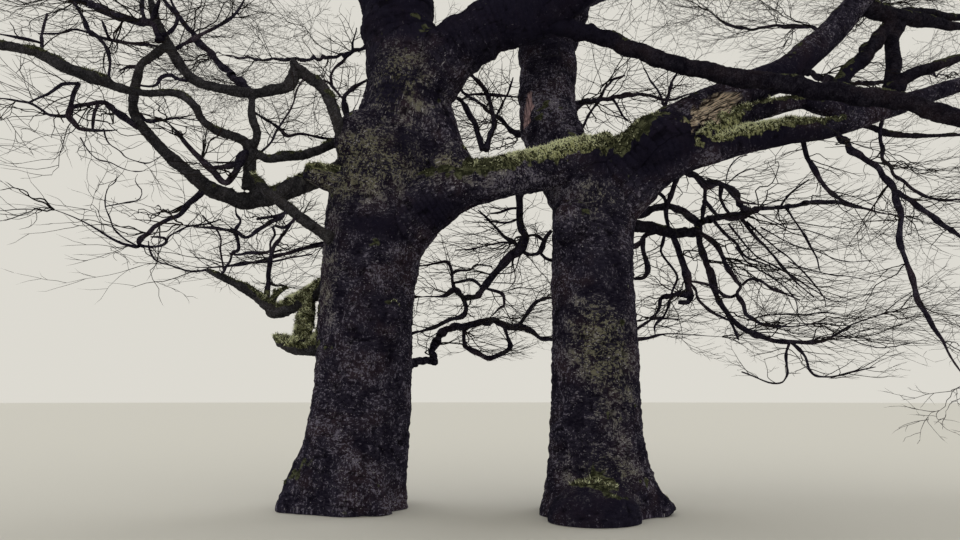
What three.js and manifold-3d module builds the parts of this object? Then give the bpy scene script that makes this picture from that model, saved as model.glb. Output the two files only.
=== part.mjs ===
// A bare tree with two stems that have grown together, in millimetres, +Z up.
// The origin is the middle of the left stem's flat cut at the ground, and the
// right stem stands along +X. Every bend is written as [x, y, z, radius], or as
// [x, y, z] where the limb tapers evenly from its foot to its tip.
import * as THREE from 'three';
import { mergeVertices } from 'three/addons/utils/BufferGeometryUtils.js';
import Module from 'manifold-3d';

const wasm = await Module();
wasm.setup();

// Spaces that the pieces keep to each other
const seat = 0.35;
const twigClearance = 45;
const territoryMargin = 70;
const testSpacing = 60;

// How finely limbs and twigs are cut into faces, round them and along each bend
const stemSides = 14;
const boughSides = 9;
const thinSides = 6;
const massStemSides = 4;
const twigSides = 3;
const limbRings = 2;
const twigRings = 1;
const smoothing = 0.1;

// How twigs branch: places along their stem, length, spread, bend and thickness.
// A range holds the least and the most share of the mass's own value.
const goldenTurn = THREE.MathUtils.degToRad(137.5);
const firstTwigAlong = 0.14;
const lastTwigAlong = 0.97;
const tipShortening = 0.5;
const lengthRange = [0.75, 1.25];
const spreadRange = [0.8, 1.2];
const twigBend = 0.9;
const twigThickness = 0.5;
const thickestTwig = 34;
const thinnestTwig = 10;
const tipThickness = 0.3;
const sideTwigPlace = 0.55;
const sideTwigLength = 0.55;
const sideLengthRange = [0.7, 1.3];
const sideTwigThickness = 0.4;
const sideTwigSpread = THREE.MathUtils.degToRad(42);
const firstSeed = 1000;
const seedStep = 77;
const steepHeading = 0.95;

// Two stems with flared, lobed feet, and the lumps that swell out of them
const stems = {
  stem_left: {
    bends: [[0, 0, 0, 690], [160, 0, 1500, 672], [200, 0, 3300, 688], [300, 0, 4520, 709],
      [620, 0, 5600, 712], [770, 0, 6850, 670]],
    flare: { reach: 0.2, height: 1000, lobes: 5, depth: 0.1, turn: 0.4 },
    lumps: [[[-210, -300, 4720, 195], [-500, -500, 4780, 177], [-680, -600, 4800, 120]],
      [[760, 0, 6300, 600], [1060, -60, 5500, 510], [1500, -180, 4800, 370]]],
  },
  stem_right: {
    bends: [[3540, -400, 0, 610], [3500, -350, 950, 612], [3540, -300, 2200, 606],
      [3580, -130, 3700, 602], [3670, 0, 4680, 618]],
    flare: { reach: 0.42, height: 560, lobes: 5, depth: 0.14, turn: 1.1 },
    lumps: [[[3200, -650, 950, 120], [3030, -750, 1010, 105], [2960, -800, 1060, 60]]],
  },
};

// The main boughs, each from inside the limb that bears it
const boughs = {
  leader_left: [[740, 0, 6600, 640], [560, 50, 7500, 585], [280, 200, 9140, 500],
    [100, 300, 10980, 370], [-250, 300, 12400, 240]],
  arch_bough: [[820, -50, 6230, 540], [1500, -250, 6890, 470], [2200, -450, 7220, 418],
    [2890, -600, 7400, 385], [3900, -1100, 8100, 320], [5300, -2100, 10000, 220]],
  torn_bough: [[3600, -50, 4500, 480], [4320, -300, 5190, 400], [5210, -450, 5750, 305],
    [6680, -350, 6540, 278], [8100, 0, 7760, 244], [8900, 250, 8900, 200]],
  mossy_bough: [[3800, -60, 4250, 400], [4420, -400, 4760, 275], [4970, -600, 4990, 208],
    [6110, -750, 5300, 200], [7150, -600, 5480, 145], [8800, -100, 6160, 138], [9930, 200, 6600, 118]],
  leader_right: [[3600, 100, 4450, 498], [3210, 350, 5300, 499], [3030, 600, 6100, 480],
    [3070, 800, 7450, 480], [3300, 850, 8150, 450], [3800, 700, 9700, 360], [4400, 500, 12000, 230]],
  joining_bough: [[600, -50, 4120, 518], [1130, -150, 4480, 455], [1660, -250, 4700, 362],
    [2190, -300, 4780, 316], [3410, -280, 5070, 333], [3900, -280, 5180, 334]],
};

// A fork that swells out of a main bough
const boughLumps = {
  mossy_bough: [[5600, -700, 5300, 150], [6000, -680, 5590, 128], [6660, -620, 5810, 105],
    [7300, -540, 5860, 70]],
};

// Thinner boughs, with the radius at the foot and at the tip where it is even
const thinBoughs = {
  long_bough: { bends: [[2950, -600, 7150, 178], [3750, -620, 6900, 147], [4920, -1000, 6210, 130],
    [6150, -1400, 5740, 124], [7380, -1800, 5320, 118], [8430, -2200, 4710, 93]] },
  elbow_foot: { bends: [[30, -300, 4670, 140], [-230, -600, 5610, 105], [-470, -700, 6070, 98],
    [-840, -800, 6310, 96]] },
  elbow_arm: { bends: [[-800, -795, 6290, 92], [-960, -820, 6010, 86], [-1440, -900, 5880, 76],
    [-2090, -1100, 5940, 68], [-2380, -1200, 6210, 68], [-2650, -1400, 6760, 63], [-2800, -1400, 7190, 57]] },
  low_bough: { bends: [[-50, -100, 5100, 165], [-590, -300, 4750, 140], [-1260, -650, 4350, 126],
    [-1600, -760, 4290, 122], [-2060, -850, 4510, 99]] },
  low_arm: { bends: [[-2000, -840, 4470, 95], [-2570, -950, 4940, 79], [-2920, -1100, 5380, 68],
    [-2970, -1200, 5700, 62], [-2850, -1290, 6070, 58], [-2560, -1290, 6380, 56]] },
  reaching_bough: { bends: [[-1440, -740, 4330, 88], [-1400, -800, 4750, 80], [-1450, -870, 5060, 74],
    [-1910, -1050, 5260, 64], [-2190, -1250, 5590, 62], [-2670, -1500, 5600, 60], [-3460, -2200, 5650, 70],
    [-4210, -2800, 5650, 62]] },
  graft_post: { bends: [[-1390, -850, 5000], [-1320, -850, 5250], [-1390, -880, 5520], [-1400, -900, 5850]],
    foot: 62, tip: 52 },
  back_bough: { bends: [[100, 300, 5700], [-290, 300, 5620], [-730, -200, 5210], [-1180, -700, 4950],
    [-1400, -850, 5000]], foot: 100, tip: 50 },
  crossing_bough: { bends: [[-150, -250, 3700], [-400, -600, 3860], [-980, -1100, 4260], [-1390, -830, 4690]],
    foot: 105, tip: 44 },
  snag_bough: {
    bends: [[-100, 80, 3170, 140], [-570, 50, 3130, 136], [-1070, -100, 2780, 106], [-1250, -150, 2900, 90],
      [-1730, -200, 3190, 62], [-2170, -200, 3390, 30]],
    link: [[-700, -50, 2350, 130], [-720, -30, 2600, 119], [-740, 0, 3000, 115]],
    stub: [[-200, 50, 2320, 164], [-490, 0, 2280, 163], [-960, -100, 2320, 110], [-1150, -100, 2410, 30]],
  },
  right_crook: { bends: [[3900, 100, 4240], [4650, 500, 4210], [5090, 700, 4170], [5510, 900, 4260]],
    foot: 102, tip: 76 },
};

// Upper crown boughs: the limb each grows from, how far up it, compass bearing
// of the outward reach, the reach itself and the rise
const crownBoughs = [
  ['leader_left', 0.42, 176, 3700, 2500],
  ['leader_left', 0.6, 236, 3300, 2200],
  ['leader_left', 0.8, 84, 3200, 1700],
  ['arch_bough', 0.72, 288, 2700, 2300],
  ['leader_right', 0.72, 52, 3400, 2300],
  ['leader_right', 0.84, 8, 3400, 1900],
];
const crownFootShare = 0.48;
const crownTipRadius = 95;
// Bends of each as shares of its reach, aside and outward, and of its rise
const crownBoughShape = [[0, 0, 0], [0.34, 0.05, 0.24], [0.7, -0.04, 0.6], [1, 0.03, 1]];
const crownStemRoot = 0.99;
const crownStemLength = 3100;
const crownStemSag = 0.28;

// Masses of twigs: bends of the stem that bears them, its radius at the foot and
// tip, the number of main twigs, their reach, their lift and their spread
const masses = {
  twigs_hanging: [[[2730, -100, 4810], [2540, 100, 4600], [2620, 300, 3990], [2160, 500, 3360],
    [1730, 700, 3050], [1070, 1000, 3110]], 90, 22, 8, 850, -0.05, 62],
  twigs_low_back: [[[500, 330, 1880], [1060, 950, 2110], [1120, 1100, 2440], [1690, 1400, 2810],
    [2410, 1800, 2790], [3920, 2500, 2490], [5350, 2800, 2700], [8000, 3400, 2600]],
    80, 20, 12, 1000, 0.2, 58],
  twigs_right_sweep: [[[4000, 200, 4300], [4680, 620, 4560], [5160, 880, 4680], [5570, 1150, 4260],
    [6000, 1300, 3020], [6660, 1400, 2540], [7730, 1500, 2480], [9820, 1800, 3230]],
    96, 20, 11, 1900, -0.1, 40],
  twigs_right_level: [[[5440, 870, 4240], [5810, 1100, 4550], [6330, 1300, 4660], [8510, 2100, 5120],
    [10500, 2800, 4900]], 72, 20, 10, 1900, -0.2, 40],
  twigs_right_inner: [[[5020, 680, 4200], [5130, 540, 3720], [5150, 400, 3200], [4860, 300, 3110],
    [4500, 230, 2760]], 70, 22, 8, 800, -0.1, 60],
  twigs_right_droop: [[[5380, 830, 4230], [5480, 760, 4010], [5870, 500, 3510], [6000, 300, 2920],
    [6960, 0, 2640]], 52, 18, 8, 1600, 0.05, 38],
  twigs_far_right: [[[7080, -620, 5470], [7220, -900, 5000], [7460, -1300, 4300], [7320, -1600, 3280],
    [7450, -1800, 2430], [7730, -2000, 1590]], 88, 20, 8, 900, -0.1, 50],
  twigs_right_fall: [[[8050, -360, 5880], [8000, -300, 5500], [8150, -150, 5000], [8900, 50, 4600],
    [10100, 100, 4500]], 66, 20, 8, 1200, -0.1, 44],
  twigs_elbow_arm: [[[-2790, -1400, 7150], [-2950, -1600, 7830], [-3280, -1900, 8540],
    [-3770, -2200, 9250]], 54, 22, 8, 1400, 0.2, 52],
  twigs_elbow_fork: [[[-1460, -890, 5900], [-1850, -800, 6280], [-2620, -600, 7130], [-3340, -350, 8050],
    [-4100, 100, 8900]], 64, 22, 9, 1300, 0.1, 52],
  twigs_upper_left: [[[-2680, -1400, 6850], [-3370, -1200, 6980], [-3860, -1100, 7300], [-4620, -1000, 7610],
    [-5700, -900, 7900]], 58, 20, 8, 1300, 0.1, 55],
  twigs_left_side: [[[-2900, -1090, 5340], [-3120, -1350, 5360], [-3480, -1700, 5300], [-3690, -2000, 4960],
    [-4340, -2600, 4680]], 56, 20, 9, 1100, -0.05, 55],
  twigs_left_under: [[[-2050, -850, 4440], [-2220, -1000, 4120], [-2660, -1300, 3520], [-2890, -1500, 3600],
    [-3640, -2000, 3900]], 66, 16, 8, 1000, 0.15, 55],
  twigs_left_crook: [[[-1440, -880, 4960], [-1500, -1080, 4720], [-1560, -1170, 4440], [-1780, -1250, 4610],
    [-2390, -1550, 5140]], 56, 24, 6, 700, 0.1, 60],
  twigs_left_reach: [[[-4170, -2770, 5650], [-4560, -3100, 5700], [-4960, -3400, 5610],
    [-5990, -3950, 5400]], 60, 20, 9, 1500, 0, 52],
  twigs_crossing: [[[-760, -960, 4100], [-960, -1050, 3900], [-1260, -1200, 3670], [-1500, -1400, 3720],
    [-2010, -1700, 3680]], 48, 18, 8, 950, 0.15, 60],
  twigs_snag: [[[-1270, -120, 2930], [-1290, 0, 3500], [-1200, 150, 3870], [-1400, 350, 4400]],
    46, 18, 8, 800, 0.2, 58],
  twigs_back_left: [[[300, 300, 7300], [-620, 1100, 7500], [-1570, 2000, 7900], [-2890, 3100, 8500],
    [-4300, 4300, 9300]], 100, 24, 11, 2000, 0, 58],
  twigs_centre: [[[2800, 800, 6350], [2330, 1200, 6330], [2070, 1700, 6850], [1700, 2400, 7440],
    [1390, 3300, 8200]], 72, 22, 8, 1200, 0, 58],
  twigs_window: [[[3400, 900, 6800], [4020, 1300, 6850], [4580, 1900, 7170], [5310, 2600, 7790],
    [6220, 3500, 8400]], 84, 22, 9, 1400, 0, 55],
  twigs_over_long: [[[7550, -100, 7250], [7420, 300, 7580], [7080, 900, 7960], [6720, 1500, 8250],
    [6200, 2000, 9000]], 90, 22, 8, 1100, 0.15, 58],
  twigs_upper_right: [[[8100, 60, 7850], [8600, 600, 8050], [9010, 1100, 8390], [9530, 1700, 8970],
    [10100, 2500, 9900]], 92, 24, 9, 1500, 0.1, 52],
  twigs_right_back: [[[6790, -250, 6600], [7910, 700, 6840], [8950, 1300, 7080], [10340, 2000, 7580],
    [11300, 2700, 7900]], 80, 22, 10, 1500, 0, 50],
  twigs_long_bough: [[[8390, -2180, 4730], [8950, -2400, 4490], [9500, -2600, 4490], [10150, -2800, 4650],
    [10800, -3100, 5000]], 88, 20, 9, 1400, 0, 50],
  twigs_mossy_bough: [[[9880, 180, 6580], [10500, 400, 6850], [11300, 700, 7100]], 112, 26, 9, 1500, 0, 55],
  twigs_torn_bough: [[[8870, 240, 8850], [9500, 350, 9900], [10300, 300, 11000], [10900, 100, 11900]],
    190, 26, 12, 2000, 0.1, 55],
  twigs_arch: [[[5270, -2080, 9950], [5900, -2900, 11000], [6500, -3900, 12100], [7000, -4900, 12700]],
    205, 26, 12, 2300, 0.1, 55],
  twigs_leader_left: [[[-240, 300, 12360], [-700, 100, 13300], [-900, 100, 14200], [-1000, 300, 15000]],
    225, 24, 12, 2300, 0.1, 60],
  twigs_leader_right: [[[4390, 500, 11960], [4700, 600, 12900], [4900, 400, 13900], [4800, 200, 14700]],
    215, 24, 12, 2300, 0.1, 60],
};
const crownMass = { foot: 90, tip: 22, twigs: 11, reach: 2300, lift: 0.1, spread: 58 };

// Colours of the wood, thick and thin
const colours = { stem: '#4a443c', bough: '#463f37', moss: '#5a5f33', twig: '#3c342f' };
const barkRoughness = 0.95;

// A smooth path through the bends, with the radius at each place along it.
function makePath(bends, foot, tip) {
  const curve = new THREE.CatmullRomCurve3(
    bends.map(([x, y, z]) => new THREE.Vector3(x, y, z)), false, 'catmullrom', 0.5);
  const spans = bends.length - 1;
  const radiusAt = (along) => {
    if (foot !== undefined) return THREE.MathUtils.lerp(foot, tip, along);
    const before = Math.min(Math.floor(along * spans), spans - 1);
    return THREE.MathUtils.lerp(bends[before][3], bends[before + 1][3], along * spans - before);
  };
  return {
    spans,
    radiusAt,
    placeAt: (along) => curve.getPoint(along),
    headingAt: (along) => curve.getTangent(along),
  };
}

// Places, headings and sideways directions of the rings round a path.
function ringFrames(path, rings) {
  const side = new THREE.Vector3(1, 0, 0);
  if (Math.abs(path.headingAt(0).x) > steepHeading) side.set(0, 1, 0);
  return Array.from({ length: rings + 1 }, (_, ring) => {
    const heading = path.headingAt(ring / rings);
    side.addScaledVector(heading, -side.dot(heading)).normalize();
    return {
      place: path.placeAt(ring / rings),
      heading,
      side: side.clone(),
      over: new THREE.Vector3().crossVectors(side, heading),
    };
  });
}

// How much a stem's foot widens at a height above the ground and a bearing.
function flareAt(flare, height, bearing) {
  const fade = Math.exp(-Math.max(height, 0) / flare.height);
  return 1 + fade * (flare.reach + flare.depth * Math.cos(flare.lobes * bearing + flare.turn));
}

// A closed geometry whose shared corners are merged, as a solid.
function toSolid(shape) {
  shape.deleteAttribute('normal');
  shape.deleteAttribute('uv');
  const merged = mergeVertices(shape, 0.001);
  return new wasm.Manifold(new wasm.Mesh({
    numProp: 3,
    vertProperties: Float32Array.from(merged.attributes.position.array),
    triVerts: Uint32Array.from(merged.index.array),
  }));
}

// A cylinder bent along a path, tapered, pointed if asked, flared at the ground if
// asked, and grown outwards all round.
function tube(path, { sides, ringsPerSpan = limbRings, grow = 0, pointed = false, flare }) {
  const rings = ringsPerSpan * path.spans;
  const shape = new THREE.CylinderGeometry(pointed ? 0 : 1, 1, 1, sides, rings);
  const frames = ringFrames(path, rings);
  const corners = shape.attributes.position;
  const offset = new THREE.Vector3();
  for (let index = 0; index < corners.count; index += 1) {
    const ring = Math.round((corners.getY(index) + 0.5) * rings);
    const { place, heading, side, over } = frames[ring];
    offset.set(0, 0, 0)
      .addScaledVector(side, corners.getX(index))
      .addScaledVector(over, corners.getZ(index));
    if (offset.length() > 0) {
      const widening = flare ? flareAt(flare, place.z, Math.atan2(offset.y, offset.x)) : 1;
      offset.setLength(path.radiusAt(ring / rings) * widening + grow);
    }
    offset.add(place);
    if (ring === 0) offset.addScaledVector(heading, -grow);
    if (ring === rings) offset.addScaledVector(heading, grow);
    if (flare && ring === 0) offset.z = -grow;
    corners.setXYZ(index, offset.x, offset.y, offset.z);
  }
  return toSolid(shape);
}

// The largest of the pieces that a cut leaves.
function largest(solid) {
  return solid.decompose().sort((one, other) => other.volume() - one.volume())[0];
}

const group = new THREE.Group();
const limbs = [];
const massStems = [];

// Adds a solid to the tree as a named mesh.
function addMesh(name, solid, colour) {
  const { vertProperties, triVerts } = solid.simplify(smoothing).getMesh();
  const geometry = new THREE.BufferGeometry();
  geometry.setAttribute('position', new THREE.BufferAttribute(Float32Array.from(vertProperties), 3));
  geometry.setIndex(Array.from(triVerts));
  const material = new THREE.MeshStandardMaterial({
    color: colour,
    roughness: barkRoughness,
    metalness: 0,
    flatShading: true,
  });
  const mesh = new THREE.Mesh(geometry, material);
  mesh.name = name;
  group.add(mesh);
}

// Adds a limb, cut clear of every limb that was there before it.
function addLimb(name, path, look, extras = []) {
  const build = (grow) => {
    const parts = [tube(path, { ...look, grow })];
    extras.forEach((bends) => {
      parts.push(tube(makePath(bends), { sides: thinSides, grow }));
    });
    return wasm.Manifold.union(parts);
  };
  let solid = build(0);
  limbs.forEach((other) => {
    solid = solid.subtract(other.cutter);
  });
  solid = largest(solid);
  limbs.push({ name, path, cutter: build(seat) });
  addMesh(name, solid, look.colour);
}

function addStems() {
  Object.entries(stems).forEach(([name, { bends, flare, lumps }]) => {
    addLimb(name, makePath(bends), { sides: stemSides, flare, colour: colours.stem }, lumps);
  });
}

function addBoughs() {
  Object.entries(boughs).forEach(([name, bends]) => {
    const look = { sides: boughSides, colour: colours.bough };
    addLimb(name, makePath(bends), look, boughLumps[name] ? [boughLumps[name]] : []);
  });
  Object.entries(thinBoughs).forEach(([name, { bends, foot, tip, link, stub }]) => {
    const colour = link ? colours.moss : colours.bough;
    addLimb(name, makePath(bends, foot, tip), { sides: thinSides, colour }, link ? [link, stub] : []);
  });
}

// Bends of an upper crown bough: out from its leader, then more steeply up.
function crownBoughBends([leader, along, bearing, reach, rise]) {
  const parent = limbs.find(({ name }) => name === leader).path;
  const start = parent.placeAt(along);
  const angle = THREE.MathUtils.degToRad(bearing);
  const outward = new THREE.Vector3(Math.cos(angle), Math.sin(angle), 0);
  const sideways = new THREE.Vector3(-outward.y, outward.x, 0);
  return {
    foot: parent.radiusAt(along) * crownFootShare,
    bends: crownBoughShape.map(([out, aside, up]) => start.clone()
      .addScaledVector(outward, out * reach)
      .addScaledVector(sideways, aside * reach)
      .add(new THREE.Vector3(0, 0, up * rise)).toArray()),
  };
}

function addCrownBoughs() {
  crownBoughs.forEach((plan, index) => {
    const { bends, foot } = crownBoughBends(plan);
    const path = makePath(bends, foot, crownTipRadius);
    addLimb(`crown_bough_${index + 1}`, path, { sides: thinSides, colour: colours.bough });
    const start = path.placeAt(crownStemRoot);
    const heading = path.headingAt(1);
    const sagging = heading.clone().add(new THREE.Vector3(0, 0, -crownStemSag)).normalize();
    const middle = start.clone().addScaledVector(heading, crownStemLength / 2);
    const end = middle.clone().addScaledVector(sagging, crownStemLength / 2);
    const { foot: massFoot, tip, twigs, reach, lift, spread } = crownMass;
    masses[`twigs_crown_${index + 1}`] = [
      [start.toArray(), middle.toArray(), end.toArray()], massFoot, tip, twigs, reach, lift, spread];
  });
}

// Repeatable random numbers between 0 and 1.
function makeRandom(seed) {
  let state = seed;
  return () => {
    state = (state * 48271) % 2147483647;
    return state / 2147483647;
  };
}

// A random value within a range.
function within([least, most], random) {
  return THREE.MathUtils.lerp(least, most, random());
}

// Distance from a point to a path, less the path's radius there if asked.
function distanceTo(path, point, fromSurface) {
  const steps = 3 * path.spans;
  let least = Infinity;
  for (let step = 0; step < steps; step += 1) {
    const line = new THREE.Line3(path.placeAt(step / steps), path.placeAt((step + 1) / steps));
    const share = line.closestPointToPointParameter(point, true);
    const apart = line.at(share, new THREE.Vector3()).distanceTo(point);
    const radius = fromSurface ? path.radiusAt((step + share) / steps) : 0;
    least = Math.min(least, apart - radius);
  }
  return least;
}

// Whether a twig stays in its mass's own space and clear of every limb.
function twigFits(twigPath, length, ownStem) {
  const tests = Math.ceil(length / testSpacing);
  for (let test = 1; test <= tests; test += 1) {
    const point = twigPath.placeAt(test / tests);
    if (point.z < testSpacing) return false;
    if (limbs.some(({ path }) => distanceTo(path, point, true) < twigClearance)) return false;
    const own = distanceTo(ownStem, point, false);
    const taken = massStems.some((stem) => stem !== ownStem
      && distanceTo(stem, point, false) < own + territoryMargin);
    if (taken) return false;
  }
  return true;
}

// A direction that leaves a heading by a spread, turned round it.
function branchOff(heading, spread, turn) {
  const up = new THREE.Vector3(0, 0, 1);
  if (Math.abs(heading.z) > steepHeading) up.set(1, 0, 0);
  const side = new THREE.Vector3().crossVectors(heading, up).normalize();
  const over = new THREE.Vector3().crossVectors(side, heading);
  return heading.clone().multiplyScalar(Math.cos(spread))
    .addScaledVector(side, Math.sin(spread) * Math.cos(turn))
    .addScaledVector(over, Math.sin(spread) * Math.sin(turn));
}

// Twigs of one mass by its seeded rule: main twigs that turn round the stem,
// each bent once, and every other one bearing a side twig.
function growTwigs(stem, plan, seed) {
  const [, , , count, reach, lift, spread] = plan;
  const random = makeRandom(seed);
  const twigs = [];
  for (let index = 0; index < count; index += 1) {
    const along = THREE.MathUtils.lerp(firstTwigAlong, lastTwigAlong, index / (count - 1));
    const turn = index * goldenTurn + random();
    const angle = THREE.MathUtils.degToRad(spread) * within(spreadRange, random);
    const length = reach * (1 - tipShortening * along) * within(lengthRange, random);
    const bend = new THREE.Vector3(random() - 0.5, random() - 0.5, random() - 0.5 + lift);
    const start = stem.placeAt(along);
    const first = branchOff(stem.headingAt(along), angle, turn);
    const second = first.clone().addScaledVector(bend, twigBend).normalize();
    const knee = start.clone().addScaledVector(first, length / 2);
    const end = knee.clone().addScaledVector(second, length / 2);
    const foot = THREE.MathUtils.clamp(
      stem.radiusAt(along) * twigThickness, thinnestTwig, thickestTwig);
    const path = makePath([start.toArray(), knee.toArray(), end.toArray()], foot, foot * tipThickness);
    const hand = index % 4 ? Math.PI : 0;
    const leave = branchOff(path.headingAt(sideTwigPlace), sideTwigSpread, hand + random() - 0.5);
    const sideLength = length * sideTwigLength * within(sideLengthRange, random);
    const root = path.placeAt(sideTwigPlace);
    const tip = root.clone().addScaledVector(leave, sideLength);
    const radius = path.radiusAt(sideTwigPlace) * sideTwigThickness;
    const sidePath = makePath([root.toArray(), tip.toArray()], radius, radius * tipThickness);
    if (!twigFits(path, length, stem)) continue;
    twigs.push(path);
    if (index % 2 === 0 && twigFits(sidePath, sideLength, stem)) twigs.push(sidePath);
  }
  return twigs;
}

function addMasses() {
  const plans = Object.entries(masses);
  plans.forEach(([, [bends, foot, tip]]) => massStems.push(makePath(bends, foot, tip)));
  const cutters = limbs.map(({ cutter }) => cutter);
  plans.forEach(([name, plan], index) => {
    const stem = massStems[index];
    const look = { sides: massStemSides };
    const twigLook = { sides: twigSides, ringsPerSpan: twigRings, pointed: true };
    const twigs = growTwigs(stem, plan, firstSeed + seedStep * index);
    let solid = wasm.Manifold.union([
      tube(stem, look),
      ...twigs.map((twig) => tube(twig, twigLook)),
    ]);
    cutters.forEach((cutter) => {
      solid = solid.subtract(cutter);
    });
    cutters.push(tube(stem, { ...look, grow: seat }));
    addMesh(name, largest(solid), colours.twig);
  });
}

addStems();
addBoughs();
addCrownBoughs();
addMasses();

export default group;
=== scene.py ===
import itertools
import math

import bmesh
import bpy
import numpy
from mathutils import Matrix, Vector


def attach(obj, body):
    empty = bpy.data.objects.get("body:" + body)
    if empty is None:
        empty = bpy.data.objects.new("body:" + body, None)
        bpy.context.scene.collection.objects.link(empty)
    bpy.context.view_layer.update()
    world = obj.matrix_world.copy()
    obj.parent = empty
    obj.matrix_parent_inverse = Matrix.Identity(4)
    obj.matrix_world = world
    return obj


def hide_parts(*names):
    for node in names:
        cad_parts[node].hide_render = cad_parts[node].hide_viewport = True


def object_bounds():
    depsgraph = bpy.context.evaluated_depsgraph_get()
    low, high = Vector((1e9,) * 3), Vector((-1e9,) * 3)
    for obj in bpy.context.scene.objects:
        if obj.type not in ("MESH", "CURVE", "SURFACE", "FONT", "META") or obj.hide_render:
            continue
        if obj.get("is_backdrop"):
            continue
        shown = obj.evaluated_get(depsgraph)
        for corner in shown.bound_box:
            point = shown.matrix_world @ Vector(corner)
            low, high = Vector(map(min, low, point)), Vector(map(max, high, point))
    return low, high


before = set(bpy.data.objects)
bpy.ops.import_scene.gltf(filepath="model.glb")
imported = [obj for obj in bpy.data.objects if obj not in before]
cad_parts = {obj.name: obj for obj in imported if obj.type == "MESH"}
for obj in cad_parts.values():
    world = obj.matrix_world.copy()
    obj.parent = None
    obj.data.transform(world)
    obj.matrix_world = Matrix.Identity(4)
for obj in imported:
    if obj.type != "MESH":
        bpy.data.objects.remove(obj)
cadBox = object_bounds()

# A limb is one row of numbers: the x, y and z of each bend in centimetres and its radius in
# millimetres. Where one radius is given for the foot and one for the tip, the row has x, y
# and z alone. Z is up, and the middle of the left stem's cut at the ground is the origin.
millimetre = 0.001

stems = {
    "stem_left": {
        "bends": [0, 0, 0, 690,  16, 0, 150, 672,  20, 0, 330, 688,  30, 0, 452, 709,  62, 0, 560, 700,
                  75, 0, 625, 658,  77, 0, 685, 655],
        "flare": {"reach": 0.2, "height": 1, "lobes": 5, "depth": 0.1, "turn": 0.4},
        "lumps": [[-21, -30, 472, 195,  -50, -50, 478, 177,  -68, -60, 480, 120],
                  [76, 0, 630, 600,  106, -6, 550, 510,  150, -18, 480, 370],
                  [52, -3, 310, 380,  70, -6, 370, 320,  100, -12, 415, 320,  140, -20, 445, 290]],
    },
    "stem_right": {
        "bends": [354, -40, 0, 610,  350, -35, 95, 612,  354, -30, 220, 606,  358, -13, 370, 602,
                  367, 0, 468, 618],
        "flare": {"reach": 0.42, "height": 0.56, "lobes": 5, "depth": 0.14, "turn": 1.1},
        "lumps": [[320, -65, 95, 120,  303, -75, 101, 105,  296, -80, 106, 60]],
    },
}

boughs = {
    "leader_left": [74, 0, 660, 640,  56, 5, 750, 585,  28, 20, 914, 500,  10, 30, 1098, 370,
        -25, 30, 1240, 240],
    "arch_bough": [82, -5, 623, 540,  150, -25, 689, 470,  220, -45, 722, 418,  289, -60, 740, 385,
        390, -110, 810, 320,  530, -210, 1000, 220],
    "torn_bough": [360, -5, 450, 480,  432, -30, 519, 400,  521, -45, 575, 305,  668, -35, 654, 225,
        800, 0, 780, 195,  890, 25, 890, 185],
    "mossy_bough": [380, -6, 425, 400,  442, -40, 476, 275,  497, -60, 499, 208,  611, -75, 530, 200,
        715, -60, 548, 145,  880, -10, 616, 138,  993, 20, 660, 118],
    "leader_right": [360, 10, 445, 498,  321, 35, 530, 499,  303, 60, 610, 480,  307, 80, 745, 480,
        330, 85, 815, 450,  380, 70, 970, 360,  440, 50, 1200, 230],
    "joining_bough": [60, -5, 412, 518,  113, -15, 448, 455,  166, -25, 470, 362,  219, -30, 478, 316,
        341, -28, 507, 333,  390, -28, 518, 334],
}
mossyFork = [515, -69, 518, 160,  554, -67, 549, 150,  585, -66, 564, 142,  618, -65, 574, 140,
             666, -62, 585, 95,  700, -59, 579, 128,  730, -54, 578, 128,  790, -42, 590, 90,
             845, -25, 606, 80]

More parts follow.
